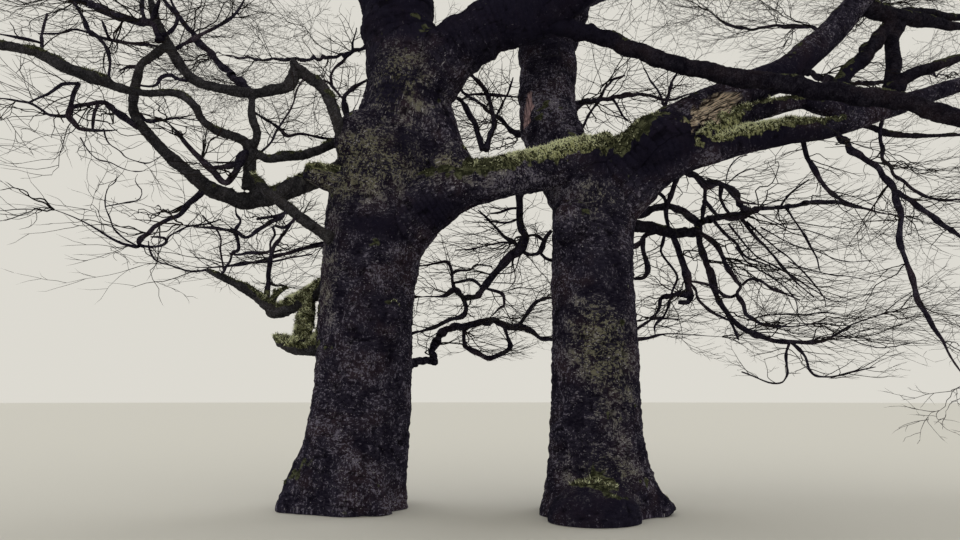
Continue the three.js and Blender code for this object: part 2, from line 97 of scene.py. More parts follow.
thinBoughs = {
    "long_bough": [[295, -60, 715, 150,  375, -62, 690, 122,  492, -100, 621, 118,  615, -140, 574, 124,
        738, -180, 532, 118,  843, -220, 471, 93]],
    "elbow_foot": [[3, -30, 467, 120,  -23, -60, 561, 88,  -47, -70, 607, 82,  -84, -80, 631, 84]],
    "elbow_arm": [[-80, -79.5, 629, 92,  -96, -82, 601, 86,  -144, -90, 588, 76,  -209, -110, 594, 68,
        -238, -120, 621, 68,  -265, -140, 676, 60,  -280, -140, 719, 34]],
    "low_bough": [[-5, -10, 510, 165,  -59, -30, 475, 140,  -126, -65, 435, 126,  -160, -76, 429, 122,
        -206, -85, 451, 99]],
    "low_arm": [[-200, -84, 447, 95,  -257, -95, 494, 79,  -292, -110, 538, 68,  -297, -120, 570, 62,
        -285, -129, 607, 58,  -256, -129, 638, 56]],
    "reaching_bough": [[-145, -74, 446, 86,  -141, -80, 486, 79,  -145, -87, 509, 72,  -160, -93, 518, 64,
        -179, -100, 522, 64,  -192, -105, 527, 56,  -204, -110, 538, 56,  -211, -115, 553, 56,
        -223, -122, 564, 52,  -238, -130, 567, 49,  -257, -140, 562, 45,  -272, -150, 559, 47,
        -294, -165, 560, 60,  -308, -180, 563, 72,  -322, -190, 565, 85,  -336, -205, 565, 70,
        -347, -220, 568, 76,  -360, -230, 575, 69,  -371, -250, 570, 55,  -388, -260, 568, 54,
        -409, -280, 561, 47]],
    "graft_post": [[-139, -85, 500, 62,  -132, -85, 525, 59,  -139, -88, 552, 55,  -140, -90, 585, 52]],
    "back_bough": [[10, 30, 570, 100,  -29, 30, 562, 87,  -73, -20, 521, 75,  -118, -70, 495, 62,
        -140, -85, 500, 50]],
    "crossing_bough": [[-15, -25, 370, 105,  -40, -60, 386, 85,  -98, -110, 426, 64,  -139, -83, 469, 44]],
    "snag_bough": [[-10, 8, 317, 140,  -57, 5, 313, 136,  -107, -10, 278, 106,  -125, -15, 290, 90,
        -173, -20, 319, 62,  -217, -20, 339, 30],
        [-70, -5, 235, 130,  -72, -3, 260, 119,  -74, 0, 300, 115],
        [-20, 5, 232, 164,  -49, 0, 228, 163,  -96, -10, 232, 110,  -115, -10, 241, 30]],
    "right_crook": [[390, 10, 424, 102,  465, 50, 421, 93,  509, 70, 417, 85,  551, 90, 426, 76]],
}

# Upper crown boughs: leader, how far up it, bearing, reach and rise
crownBoughs = [
    ["leader_left", 0.42, 176, 3700, 2500],
    ["leader_left", 0.6, 236, 3300, 2200],
    ["leader_left", 0.8, 84, 3200, 1700],
    ["arch_bough", 0.72, 288, 2700, 2300],
    ["leader_right", 0.72, 52, 3400, 2300],
    ["leader_right", 0.84, 8, 3400, 1900],
]
crownShape = [[0, 0, 0], [0.34, 0.05, 0.24], [0.7, -0.04, 0.6], [1, 0.03, 1]]

# Masses of twigs: the stem's bends, main twigs, their reach, lift and spread, and,
# where the bends have no radii, the stem's radius at its foot and tip
masses = {
    "twigs_hanging": [[273, -10, 481, 69,  253, 10, 467, 70,  250, 20, 439, 70,  253, 25, 414, 70,
        260, 30, 401, 71,  250, 35, 381, 63,  236, 40, 371, 55,  221, 45, 354, 55,  197, 50, 328, 51,
        186, 55, 313, 47,  173, 60, 309, 48,  162, 65, 311, 48,  149, 70, 323, 40,  134, 80, 317, 40,
        107, 90, 316, 33,  74, 100, 316, 25], 8, 850, -0.05, 62],
    "twigs_low_back": [[48, 40, 189, 69,  71, 70, 196, 71,  85, 90, 210, 72,  100, 100, 212, 73,
        114, 105, 212, 65,  110, 110, 227, 65,  116, 115, 244, 66,  124, 120, 257, 66,  139, 125, 268, 67,
        164, 135, 272, 67,  189, 145, 280, 68,  215, 155, 283, 69,  232, 165, 275, 69,  259, 180, 275, 70,
        279, 190, 269, 62,  299, 200, 258, 35,  352, 230, 255, 36,  489, 270, 262, 37,  541, 290, 273, 29,
        630, 310, 273, 24,  800, 340, 260, 20], 12, 1000, 0.2, 58],
    "twigs_right_sweep": [[402, 30, 433, 71,  446, 50, 444, 72,  475, 65, 458, 69,  499, 75, 464, 70,
        522, 85, 460, 71,  541, 95, 451, 71,  555, 105, 443, 72,  559, 110, 425, 68,  561, 115, 406, 68,
        570, 120, 382, 68,  579, 125, 364, 64,  586, 130, 339, 59,  594, 130, 312, 59,  608, 135, 291, 59,
        625, 140, 274, 59,  645, 140, 261, 51,  672, 145, 254, 51,  699, 150, 248, 42,  733, 150, 246, 42,
        766, 155, 247, 38,  798, 160, 259, 34,  834, 170, 277, 35,  888, 175, 296, 26,
        972, 180, 317, 18], 11, 1900, -0.1, 40],
    "twigs_right_level": [[553, 100, 437, 67,  567, 105, 447, 68,  583, 110, 453, 68,  602, 115, 458, 68,
        626, 120, 459, 68,  652, 130, 467, 69,  678, 140, 479, 52,  711, 155, 483, 44,  744, 170, 491, 45,
        777, 180, 500, 45,  800, 190, 504, 46,  856, 210, 508, 37,  907, 230, 504, 38,  971, 250, 498, 29,
        1056, 280, 490, 19], 10, 1900, -0.2, 40],
    "twigs_right_inner": [[500, 68, 418, 65,  506, 60, 395, 64,  511, 54, 369, 64,  514, 45, 343, 63,
        515, 42, 325, 63,  518, 40, 312, 62,  507, 38, 311, 43,  494, 36, 312, 39,  480, 34, 308, 39,
        469, 32, 303, 39,  466, 30, 289, 35,  454, 28, 276, 31,  441, 25, 273, 23], 8, 800, -0.1, 60],
    "twigs_right_droop": [[541, 90, 429, 50,  549, 85, 423, 50,  567, 75, 405, 45,  577, 65, 384, 44,
        583, 55, 358, 40,  592, 50, 339, 40,  599, 45, 326, 31,  591, 40, 312, 31,  598, 35, 296, 39,
        601, 30, 278, 38,  611, 20, 266, 30,  627, 15, 260, 26,  663, 10, 260, 23,
        711, 0, 264, 15], 8, 1600, 0.05, 38],
    "twigs_far_right": [[708, -62, 547,  722, -90, 500,  746, -130, 430,  732, -160, 328,  745, -180, 243,
        773, -200, 159], 8, 900, -0.1, 50, 55, 20],
    "twigs_right_fall": [[805, -36, 588,  800, -30, 550,  815, -15, 500,  890, 5, 460,
        1010, 10, 450], 8, 1200, -0.1, 44, 33, 20],
    "twigs_elbow_arm": [[-279, -140, 715,  -295, -160, 783,  -328, -190, 854,
        -377, -220, 925], 8, 1400, 0.2, 52, 38, 22],
    "twigs_elbow_fork": [[-146, -89, 590,  -185, -80, 628,  -262, -60, 713,  -334, -35, 805,
        -410, 10, 890], 9, 1300, 0.1, 52, 67, 22],
    "twigs_upper_left": [[-257, -140, 642, 56,  -265, -140, 662, 56,  -275, -138, 671, 56,
        -293, -135, 674, 56,  -321, -130, 683, 57,  -350, -120, 700, 57,  -372, -115, 711, 58,
        -390, -110, 721, 58,  -427, -105, 735, 44,  -491, -100, 754, 30,
        -569, -90, 784, 15], 8, 1300, 0.1, 55],
    "twigs_left_side": [[-291, -110, 526, 56,  -303, -115, 533, 49,  -316, -120, 542, 49,
        -325, -125, 551, 42,  -331, -130, 553, 41,  -344, -140, 547, 34,  -359, -155, 536, 40,
        -359, -160, 523, 33,  -364, -170, 516, 26,  -371, -180, 514, 23,  -375, -190, 517, 19,
        -385, -200, 522, 19,  -386, -220, 516, 19,  -401, -240, 511, 18,
        -425, -270, 497, 12], 9, 1100, -0.05, 55],
    "twigs_left_under": [[-202, -85, 442, 64,  -212, -90, 427, 56,  -220, -97, 414, 49,
        -228, -102, 400, 35,  -242, -110, 389, 31,  -252, -115, 381, 34,  -259, -120, 370, 34,
        -264, -130, 359, 33,  -264, -135, 350, 26,  -274, -140, 350, 23,  -293, -150, 358, 20,
        -329, -170, 379, 16,  -364, -200, 390, 12], 8, 1000, 0.15, 55],
    "twigs_left_crook": [[-144, -88, 498, 57,  -150, -95, 483, 57,  -151, -105, 462, 56,
        -159, -115, 444, 55,  -171, -120, 453, 55,  -189, -125, 471, 48,  -207, -140, 490, 41,
        -217, -150, 503, 34,  -237, -160, 519, 20], 6, 700, 0.1, 60],
    "twigs_left_reach": [[-417, -277, 565,  -456, -310, 570,  -496, -340, 561,
        -599, -395, 540], 9, 1500, 0, 52, 60, 20],
    "twigs_crossing": [[-76, -96, 410,  -96, -105, 390,  -126, -120, 367,  -150, -140, 372,
        -201, -170, 368], 8, 950, 0.15, 60, 34, 18],
    "twigs_snag": [[-126, -12, 292, 44,  -129, -5, 320, 45,  -130, 0, 343, 42,  -130, 5, 364, 38,
        -127, 8, 379, 38,  -118, 12, 394, 31,  -109, 15, 413, 27,  -97, 20, 431, 23], 8, 800, 0.2, 58],
    "twigs_back_left": [[30, 30, 730,  -62, 110, 750,  -157, 200, 790,  -289, 310, 850,
        -430, 430, 930], 11, 2000, 0, 58, 40, 24],
    "twigs_centre": [[292, 90, 617, 60,  263, 80, 592, 59,  243, 85, 599, 47,  224, 100, 627, 39,
        206, 110, 644, 35,  189, 130, 670, 31,  164, 150, 694, 32,  142, 180, 732, 28,  111, 230, 792, 29,
        77, 280, 853, 26], 8, 1200, 0, 58],
    "twigs_window": [[330, 90, 628, 86,  348, 95, 640, 86,  361, 100, 655, 78,  372, 105, 662, 61,
        385, 110, 665, 44,  405, 120, 673, 44,  425, 130, 679, 45,  451, 145, 690, 41,  484, 165, 703, 37,
        518, 190, 709, 33,  551, 210, 712, 29,  626, 260, 752, 30,  722, 320, 811, 26], 9, 1400, 0, 55],
    "twigs_over_long": [[755, -10, 725,  742, 30, 758,  708, 90, 796,  672, 150, 825,
        620, 200, 900], 8, 1100, 0.15, 58, 40, 22],
    "twigs_upper_right": [[810, 6, 785,  860, 60, 805,  901, 110, 839,  953, 170, 897,
        1010, 250, 990], 9, 1500, 0.1, 52, 69, 24],
    "twigs_right_back": [[679, -25, 660,  791, 70, 684,  895, 130, 708,  1034, 200, 758,
        1130, 270, 790], 10, 1500, 0, 50, 60, 22],
    "twigs_long_bough": [[839, -218, 473,  895, -240, 449,  950, -260, 449,  1015, -280, 465,
        1080, -310, 500], 9, 1400, 0, 50, 70, 20],
    "twigs_mossy_bough": [[988, 18, 658,  1050, 40, 685,  1130, 70, 710], 9, 1500, 0, 55, 112, 26],
    "twigs_torn_bough": [[887, 24, 885,  950, 35, 990,  1030, 30, 1100,
        1090, 10, 1190], 12, 2000, 0.1, 55, 190, 26],
    "twigs_arch": [[527, -208, 995,  590, -290, 1100,  650, -390, 1210,
        700, -490, 1270], 12, 2300, 0.1, 55, 205, 26],
    "twigs_leader_left": [[-24, 30, 1236,  -70, 10, 1330,  -90, 10, 1420,
        -100, 30, 1500], 12, 2300, 0.1, 60, 225, 24],
    "twigs_leader_right": [[439, 50, 1196,  470, 60, 1290,  490, 40, 1390,
        480, 20, 1470], 12, 2300, 0.1, 60, 215, 24],
}

# Limbs too thin for a solid of their own, each with the mass that it grows in
photoLimbs = {
    "twigs_hanging": [
        [191, 40, 325, 12,  205, 42, 318, 11,  224, 44, 317, 10,  249, 46, 323, 9,  274, 48, 321, 8,
         300, 50, 334, 7],
        [252, 35, 374, 12,  242, 40, 347, 11,  216, 45, 345, 10,  202, 50, 334, 9,  231, 55, 332, 8,
         261, 60, 331, 7],
        [149, 70, 323, 40,  144, 75, 339, 32,  143, 79, 354, 33,  135, 85, 372, 29,  115, 91, 370, 21,
         86, 100, 367, 17],
        [162, 65, 311, 48,  167, 61, 294, 48,  162, 57, 280, 39,  142, 52, 273, 31,  124, 46, 263, 27,
         104, 41, 256, 23,  83, 35, 249, 23],
        [144, 74, 335, 24,  160, 67, 337, 32,  176, 59, 338, 32,  191, 51, 325, 32],
        [142, 78, 349, 24,  152, 73, 355, 24,  173, 64, 355, 24,  183, 58, 362, 16,  208, 48, 358, 16],
        [249, 35, 381, 39,  243, 41, 394, 32,  229, 48, 405, 32,  216, 57, 422, 24,  205, 64, 436, 20,
         186, 75, 457, 16],
        [243, 41, 394, 24,  226, 50, 396, 20,  205, 61, 395, 16,  176, 77, 392, 16,  148, 91, 393, 12],
        [252, 22, 431, 23,  234, 39, 428, 24,  218, 53, 431, 20,  196, 72, 440, 16],
        [250, 18, 445, 23,  233, 29, 446, 20,  221, 38, 444, 16,  205, 48, 445, 16],
        [258, 30, 401, 31,  275, 44, 408, 24,  292, 60, 403, 24],
        [253, 34, 386, 31,  257, 39, 379, 32,  270, 48, 376, 32,  285, 59, 383, 40,  295, 72, 406, 41,
         306, 84, 424, 50],
        [194, 51, 325, 24,  208, 43, 319, 23,  225, 33, 311, 23,  226, 24, 293, 23,  220, 20, 288, 19,
         207, 11, 274, 15],
        [285, 59, 383, 32,  294, 67, 375, 32,  313, 79, 371, 33]],
    "twigs_low_back": [
        [122, 130, 264, 13,  103, 133, 253, 11,  87, 137, 263, 9,  69, 140, 260, 8],
        [162, 134, 270, 42,  162, 136, 249, 42,  167, 136, 237, 50,  182, 138, 229, 50,  197, 139, 220, 50,
         211, 140, 220, 50,  228, 141, 227, 50,  240, 142, 237, 42,  236, 143, 251, 42,  231, 144, 270, 42],
        [259, 180, 280, 35,  274, 188, 301, 35,  287, 195, 319, 31,  306, 201, 328, 27,  334, 210, 332, 27],
        [465, 230, 269, 36,  499, 245, 291, 28,  516, 252, 299, 28,  566, 270, 299, 19]],
    "twigs_centre": [
        [198, 10, 537, 47,  205, 20, 565, 48,  213, 29, 587, 49,  209, 38, 613, 41,  204, 47, 638, 41,
         196, 55, 660, 42,  186, 62, 677, 34,  172, 70, 696, 34,  158, 80, 721, 26],
        [192, 10, 537, 39,  184, 23, 576, 40,  176, 30, 599, 41,  164, 38, 622, 41,  156, 44, 637, 33,
         139, 50, 645, 33],
        [156, 44, 637, 25,  172, 48, 647, 25,  206, 54, 650, 25,  255, 64, 651, 25],
        [217, 104, 634, 22,  229, 115, 663, 18,  239, 123, 688, 18,  248, 134, 720, 18]],
    "twigs_window": [
        [401, 118, 672, 26,  384, 128, 650, 27,  371, 138, 622, 22],
        [399, 117, 672, 26,  416, 130, 702, 22,  429, 137, 717, 18,  453, 147, 732, 18],
        [425, 130, 678, 27,  436, 119, 648, 22,  447, 110, 628, 17]],
    "twigs_over_long": [
        [470, -30, 587, 38,  484, -18, 622, 31,  494, -9, 646, 24,  510, 0, 671, 16],
        [472, -27, 596, 23,  470, -17, 617, 20,  460, 0, 651, 16,  454, 13, 678, 12]],
    "twigs_right_inner": [
        [597, 75, 434, 18,  620, 80, 404, 17,  642, 85, 382, 16,  674, 90, 367, 15,  708, 95, 347, 13,
         739, 100, 327, 12,  770, 105, 312, 11,  799, 110, 309, 10],
        [604, 70, 394, 16,  622, 73, 370, 15,  645, 77, 355, 14,  678, 80, 335, 12,  700, 83, 309, 11,
         707, 87, 280, 9,  732, 90, 256, 8],
        [480, -50, 485, 48,  508, -40, 478, 42,  530, -20, 467, 36,  563, 0, 477, 28,  599, 20, 455, 22,
         644, 40, 456, 12],
        [518, 40, 312, 62,  513, 42, 300, 47,  499, 45, 300, 39],
        [488, 61, 417, 32,  481, 55, 394, 28,  478, 52, 382, 24,  487, 47, 364, 24,  498, 39, 339, 23,
         487, 33, 317, 23,  478, 26, 293, 23,  469, 21, 275, 23,  454, 16, 261, 23,  452, 11, 246, 15],
        [474, 54, 417, 48,  459, 59, 413, 48,  452, 62, 404, 40,  454, 68, 385, 40,  462, 75, 360, 41,
         455, 79, 346, 41,  437, 84, 344, 33],
        [454, 61, 405, 40,  444, 78, 397, 41,  434, 91, 395, 41],
        [487, -30, 484, 45,  486, -4, 467, 46,  483, 23, 449, 47,  488, 45, 432, 40,  498, 65, 416, 49],
        [452, -10, 469, 31,  476, 11, 460, 31,  484, 25, 448, 31]],
    "twigs_right_level": [
        [643, 115, 448, 19,  666, 118, 425, 17,  690, 122, 405, 16,  717, 125, 386, 14,  743, 128, 357, 13,
         766, 132, 328, 12,  775, 135, 305, 10],
        [666, 115, 438, 15,  699, 122, 422, 14,  733, 130, 407, 13,  767, 138, 403, 12,  802, 145, 390, 11,
         837, 152, 386, 10,  873, 160, 389, 9],
        [724, 150, 387, 12,  758, 158, 374, 11,  801, 165, 366, 10,  845, 172, 363, 9,  889, 180, 354, 8],
        [655, 120, 470, 12,  689, 130, 456, 11,  724, 140, 442, 10,  761, 150, 441, 10,  805, 160, 431, 9,
         849, 170, 416, 8],
        [605, 100, 508, 13,  627, 98, 526, 11,  646, 95, 535, 10,  664, 92, 530, 9,  691, 90, 544, 8],
        [605, 100, 508, 12,  614, 103, 538, 11,  632, 107, 558, 9,  650, 110, 565, 8],
        [494, -40, 487, 45,  524, -8, 487, 46,  543, 12, 484, 47,  566, 32, 490, 40,  592, 56, 492, 49,
         614, 78, 489, 50,  624, 96, 479, 51,  638, 114, 472, 60,  661, 133, 472, 61],
        [577, 42, 490, 40,  587, 74, 474, 33,  605, 99, 464, 34,  622, 119, 457, 34],
        [584, 110, 450, 34,  595, 102, 430, 34,  612, 91, 405, 25,  624, 81, 381, 25,  643, 72, 369, 16,
         666, 60, 352, 16],
        [639, 125, 455, 34,  653, 109, 421, 34,  665, 96, 398, 25,  677, 82, 372, 25,  693, 64, 338, 16,
         712, 45, 308, 16],
        [731, 164, 488, 27,  738, 158, 473, 22,  746, 150, 453, 18,  754, 137, 421, 17,  760, 125, 389, 17,
         761, 114, 361, 13],
        [724, 162, 487, 27,  730, 151, 501, 22,  741, 139, 512, 18,  759, 122, 526, 17]],
    "twigs_right_droop": [
        [540, 9, 484, 39,  552, 52, 468, 40,  564, 106, 445, 42],
        [553, 56, 467, 41,  573, 84, 463, 42,  592, 112, 457, 43],
        [591, 40, 312, 31,  582, 40, 307, 31,  571, 41, 309, 31,  557, 41, 322, 31,  537, 42, 330, 31,
         516, 43, 333, 24],
        [601, 45, 327, 24,  612, 41, 336, 24,  626, 36, 332, 23,  639, 30, 320, 23,  657, 23, 311, 15,
         676, 15, 299, 15]],
    "twigs_right_sweep": [
        [637, 130, 281, 13,  670, 133, 289, 13,  703, 137, 293, 12,  743, 140, 292, 11,  776, 143, 296, 10,
         809, 147, 291, 9,  845, 150, 283, 8],
        [720, 150, 244, 14,  766, 154, 252, 12,  807, 158, 257, 11,  847, 162, 243, 10,  889, 166, 238, 9,
         927, 170, 246, 8],
        [516, 43, 333, 24,  530, 57, 324, 24,  540, 75, 308, 24,  566, 98, 294, 25,  598, 123, 284, 25,
         620, 139, 278, 25],
        [608, 136, 286, 25,  614, 125, 264, 25,  616, 116, 247, 17],
        [717, 150, 246, 34,  740, 155, 225, 26,  750, 160, 200, 26,  761, 162, 190, 26,  786, 166, 188, 17,
         828, 173, 197, 17,  874, 180, 206, 13],
        [714, 150, 245, 25,  705, 146, 224, 25,  701, 138, 191, 17,  676, 133, 176, 17,
         619, 120, 195, 12]],
    "twigs_far_right": [
        [669, -50, 534, 45,  669, -57, 504, 37,  674, -62, 487, 37,  681, -68, 465, 36,  686, -73, 449, 36,
         695, -78, 437, 36,  704, -82, 428, 28,  725, -90, 416, 21],
        [747, -133, 426, 40,  780, -117, 414, 41,  836, -90, 390, 42,  872, -73, 375, 35]],
    "twigs_elbow_fork": [
        [-137, -88, 558, 22,  -129, -76, 554, 22,  -118, -63, 552, 22,  -109, -49, 547, 30,
         -102, -39, 541, 30,  -87, -23, 551, 23,  -68, -5, 553, 23,  -45, 17, 557, 32],
        [-289, -112, 546, 21,  -281, -109, 537, 21,  -270, -106, 537, 21,  -257, -103, 540, 14,
         -239, -99, 545, 14,  -210, -92, 543, 14]],
    "twigs_left_crook": [
        [-129, -80, 498, 22,  -114, -81, 514, 18,  -103, -83, 533, 18,  -92, -85, 551, 18,
         -83, -86, 570, 14,  -77, -88, 592, 15,  -67, -90, 610, 15],
        [-176, -122, 462, 34,  -164, -117, 465, 34,  -151, -112, 470, 42]],
    "twigs_back_left": [
        [-10, 10, 550, 79,  -17, 8, 573, 63,  -22, 7, 589, 48,  -26, 5, 611, 48,  -26, 4, 625, 40,
         -18, 3, 633, 32,  -5, 2, 643, 32,  14, 0, 652, 32],
        [-26, 4, 622, 24,  -34, 10, 627, 24,  -45, 22, 642, 24,  -60, 37, 664, 25,  -83, 54, 677, 17],
        [-53, 30, 655, 25,  -57, 36, 676, 25,  -51, 42, 693, 25,  -38, 50, 713, 25,  -28, 56, 729, 25,
         -28, 62, 750, 21,  -24, 70, 781, 17],
        [-19, 7, 586, 32,  -7, 1, 592, 39,  3, -3, 587, 39]],
    "twigs_crossing": [
        [-67, -89, 403, 21,  -77, -97, 387, 28,  -84, -101, 383, 28,  -93, -105, 386, 27],
        [-84, -98, 403, 42,  -95, -111, 396, 27,  -110, -128, 388, 20],
        [-141, -134, 372, 27,  -140, -112, 366, 20,  -146, -88, 356, 21,  -162, -68, 353, 21,
         -177, -42, 342, 22,  -193, -20, 334, 22],
        [-217, -20, 339, 22,  -237, -29, 336, 18,  -262, -40, 343, 15,  -279, -49, 348, 14,
         -286, -55, 362, 14,  -287, -60, 374, 14],
        [-96, -106, 384, 21,  -92, -102, 373, 21,  -101, -97, 362, 17,  -104, -93, 351, 17,
         -131, -85, 352, 21,  -147, -81, 350, 21,  -163, -76, 353, 21],
        [-137, -131, 373, 27,  -138, -111, 389, 20,  -150, -94, 403, 17,  -159, -75, 422, 14],
        [-190, -20, 336, 19,  -190, -30, 349, 15,  -190, -41, 365, 15,  -186, -51, 377, 14,
         -190, -62, 390, 14,  -198, -72, 399, 14,  -203, -80, 407, 14]],
    "twigs_snag": [
        [-46, 30, 391, 34,  -98, 50, 385, 30,  -146, 70, 376, 26,  -224, 100, 368, 20,  -296, 130, 371, 10],
        [-128, 5, 365, 23,  -103, 12, 373, 23,  -82, 18, 382, 23,  -53, 25, 392, 23],
        [-177, -40, 341, 18,  -162, -34, 347, 18,  -147, -29, 349, 15,  -116, -18, 353, 15,
         -89, -8, 361, 15,  -66, 0, 367, 15]],
    "twigs_left_under": [
        [-269, -125, 352, 13,  -284, -131, 360, 12,  -294, -138, 371, 11,  -298, -144, 385, 10,
         -303, -151, 402, 9,  -299, -157, 422, 8,  -285, -164, 430, 7,  -281, -170, 440, 6],
        [-297, -160, 397, 8,  -284, -158, 400, 8,  -270, -157, 404, 8,  -258, -155, 407, 7,
         -255, -153, 420, 7,  -266, -152, 433, 6,  -265, -150, 444, 6],
        [-262, -134, 351, 20,  -250, -129, 350, 20,  -239, -125, 352, 20,  -233, -121, 358, 20,
         -237, -120, 364, 17,  -257, -114, 367, 17],
        [-233, -121, 358, 20,  -230, -117, 369, 14,  -220, -112, 377, 14,  -209, -106, 384, 14,
         -191, -99, 389, 14,  -173, -91, 398, 14]],
    "twigs_left_side": [
        [-340, -160, 491, 11,  -327, -163, 472, 10,  -310, -167, 458, 9,  -292, -170, 454, 8,
         -270, -173, 443, 8,  -251, -177, 439, 7,  -237, -180, 440, 6],
        [-322, -140, 512, 10,  -313, -142, 491, 9,  -295, -144, 478, 8,  -281, -146, 467, 8,
         -255, -148, 460, 7,  -236, -150, 469, 6],
        [-322, -205, 546, 32,  -331, -199, 538, 32,  -336, -193, 529, 32,  -342, -186, 519, 39,
         -346, -182, 512, 39,  -340, -176, 506, 33,  -336, -171, 500, 33,  -326, -164, 500, 26,
         -313, -154, 503, 17,  -300, -145, 508, 13],
        [-337, -135, 550, 27,  -332, -147, 529, 27,  -324, -162, 503, 26],
        [-321, -205, 546, 25,  -332, -211, 543, 19,  -339, -216, 539, 19,  -346, -222, 525, 19,
         -354, -228, 516, 15,  -363, -235, 506, 12]],
    "twigs_upper_left": [
        [-256, -140, 648, 42,  -249, -132, 658, 35,  -245, -121, 676, 29,  -248, -112, 696, 29,
         -259, -103, 714, 29,  -274, -90, 741, 22],
        [-272, -138, 672, 35,  -263, -148, 675, 35,  -252, -163, 682, 27,  -242, -178, 689, 27],
        [-282, -137, 675, 28,  -297, -120, 702, 29,  -310, -97, 740, 30],
        [-339, -149, 642, 28,  -323, -145, 640, 28,  -305, -140, 639, 28,  -280, -133, 640, 28,
         -264, -129, 638, 28],
        [-323, -145, 640, 21,  -324, -153, 647, 21,  -326, -165, 658, 14],
        [-220, -113, 596, 28,  -236, -115, 596, 28,  -249, -117, 601, 28,  -262, -119, 596, 28,
         -265, -121, 586, 28,  -274, -122, 582, 21,  -289, -124, 583, 21],
        [-273, -130, 615, 28,  -290, -123, 612, 28,  -307, -117, 614, 21,  -326, -110, 610, 14]],
    "twigs_left_reach": [
        [-359, -229, 573, 25,  -367, -219, 596, 25,  -372, -211, 617, 19,  -378, -199, 647, 20],
        [-367, -220, 594, 19,  -374, -225, 595, 19,  -384, -234, 594, 19,  -402, -250, 590, 12],
        [-302, -175, 563, 26,  -308, -166, 592, 20,  -314, -160, 609, 20,  -325, -154, 627, 27,
         -340, -149, 642, 35,  -353, -144, 651, 35,  -361, -139, 665, 35,  -373, -133, 684, 28,
         -392, -125, 708, 29],
        [-351, -145, 650, 21,  -368, -154, 650, 21,  -382, -163, 640, 17,  -403, -175, 632, 13]],
    "twigs_elbow_arm": [
        [-251, -125, 631, 35,  -240, -120, 643, 36,  -224, -114, 657, 36,  -209, -108, 671, 36,
         -190, -101, 688, 29,  -176, -96, 702, 29,  -167, -90, 721, 22,  -162, -85, 746, 22]],
}
# Stout limbs of the right side, which the photo shows at its upper corner
cornerLimbs = [
    [730, -35, 607, 110,  748, -25, 634, 112,  785, -10, 673, 114,  828, 10, 717, 116,  874, 30, 765, 118,
     918, 50, 796, 106,  1050, 115, 828, 66,  1125, 145, 856, 20],
    [844, 0, 624, 112,  853, 10, 650, 118,  861, 15, 684, 112,  871, 25, 737, 108,  905, 45, 785, 90],
    [807, 5, 785, 135,  851, 20, 778, 132,  932, 50, 784, 112,  1030, 95, 798, 70,  1105, 125, 804, 20],
    [849, 0, 630, 104,  875, 10, 659, 92,  933, 25, 686, 84,  999, 50, 716, 58,  1070, 80, 742, 19],
    [729, -40, 573, 45,  801, -10, 566, 47,  853, 10, 562, 46,  989, 60, 582, 28,  1060, 90, 598, 18],
]


# Vectors and noise

def unit(vectors):
    lengths = numpy.linalg.norm(vectors, axis=-1, keepdims=True)
    return vectors / numpy.maximum(lengths, 1e-9)


lattice = numpy.random.RandomState(7).rand(65536)
primes = (73856093, 19349663, 83492791)


def softNoise(points, size, seed=0):    # smooth values from 0 to 1 on cells of one size
    scaled = points / numpy.array(size) + seed * 3.7
    cells = numpy.floor(scaled).astype(numpy.int64)
    share = scaled - cells
    share = share * share * (3 - 2 * share)
    total = numpy.zeros(len(points))
    for corner in itertools.product((0, 1), repeat=3):
        spread = (cells + corner) * primes
        key = spread[:, 0] ^ spread[:, 1] ^ spread[:, 2]
        weight = numpy.prod(numpy.where(corner, share, 1 - share), axis=1)
        total += weight * lattice[key & (len(lattice) - 1)]
    return total


def swing(points, size, seed=0):    # the same from -0.5 to 0.5
    return softNoise(points, size, seed) - 0.5


def ridges(points, size, seed=0):    # 1 along thin winding lines
    return 1 - 2 * numpy.abs(swing(points, size, seed))


def smoothStep(values, low, high):
    share = numpy.clip((values - low) / (high - low), 0, 1)
    return share * share * (3 - 2 * share)


# Paths

def makePath(points, radii):
    points = numpy.array(points, float)
    ends = 2 * points[0] - points[1], 2 * points[-1] - points[-2]
    return {"points": numpy.vstack([ends[0], points, ends[1]]),
            "spans": len(points) - 1, "radii": numpy.array(radii, float)}


def drawnPath(bends, foot=None, tip=None):    # from a row of bends
    bends = numpy.reshape(bends, (-1, 4 if foot is None else 3))
    radii = bends[:, 3] if foot is None else numpy.linspace(foot, tip, len(bends))
    return makePath(bends[:, :3] * 10 * millimetre, radii * millimetre)


def placeAt(path, along):
    place = numpy.clip(numpy.atleast_1d(along), 0, 1) * path["spans"]
    before = numpy.minimum(place.astype(int), path["spans"] - 1)
    share = (place - before)[:, None]
    back, first, last, ahead = (path["points"][before + step] for step in range(4))
    leave, arrive = (last - back) / 2, (ahead - first) / 2
    cubic = 2 * (first - last) + leave + arrive
    square = 3 * (last - first) - 2 * leave - arrive
    return first + share * (leave + share * (square + share * cubic))


def headingAt(path, along):
    along = numpy.atleast_1d(along)
    return unit(placeAt(path, along + 0.0001) - placeAt(path, along - 0.0001))


def radiusAt(path, along):
    place = numpy.clip(numpy.atleast_1d(along), 0, 1) * path["spans"]
    return numpy.interp(place, numpy.arange(path["spans"] + 1), path["radii"])


def ringSides(headings):    # a sideways direction that turns as little as it can
    side = numpy.array([1.0, 0, 0]) if abs(headings[0][0]) < 0.95 else numpy.array([0, 1.0, 0])
    sides = []
    for heading in headings:
        side = unit(side - heading * side.dot(heading))
        sides.append(side)
    return numpy.array(sides)


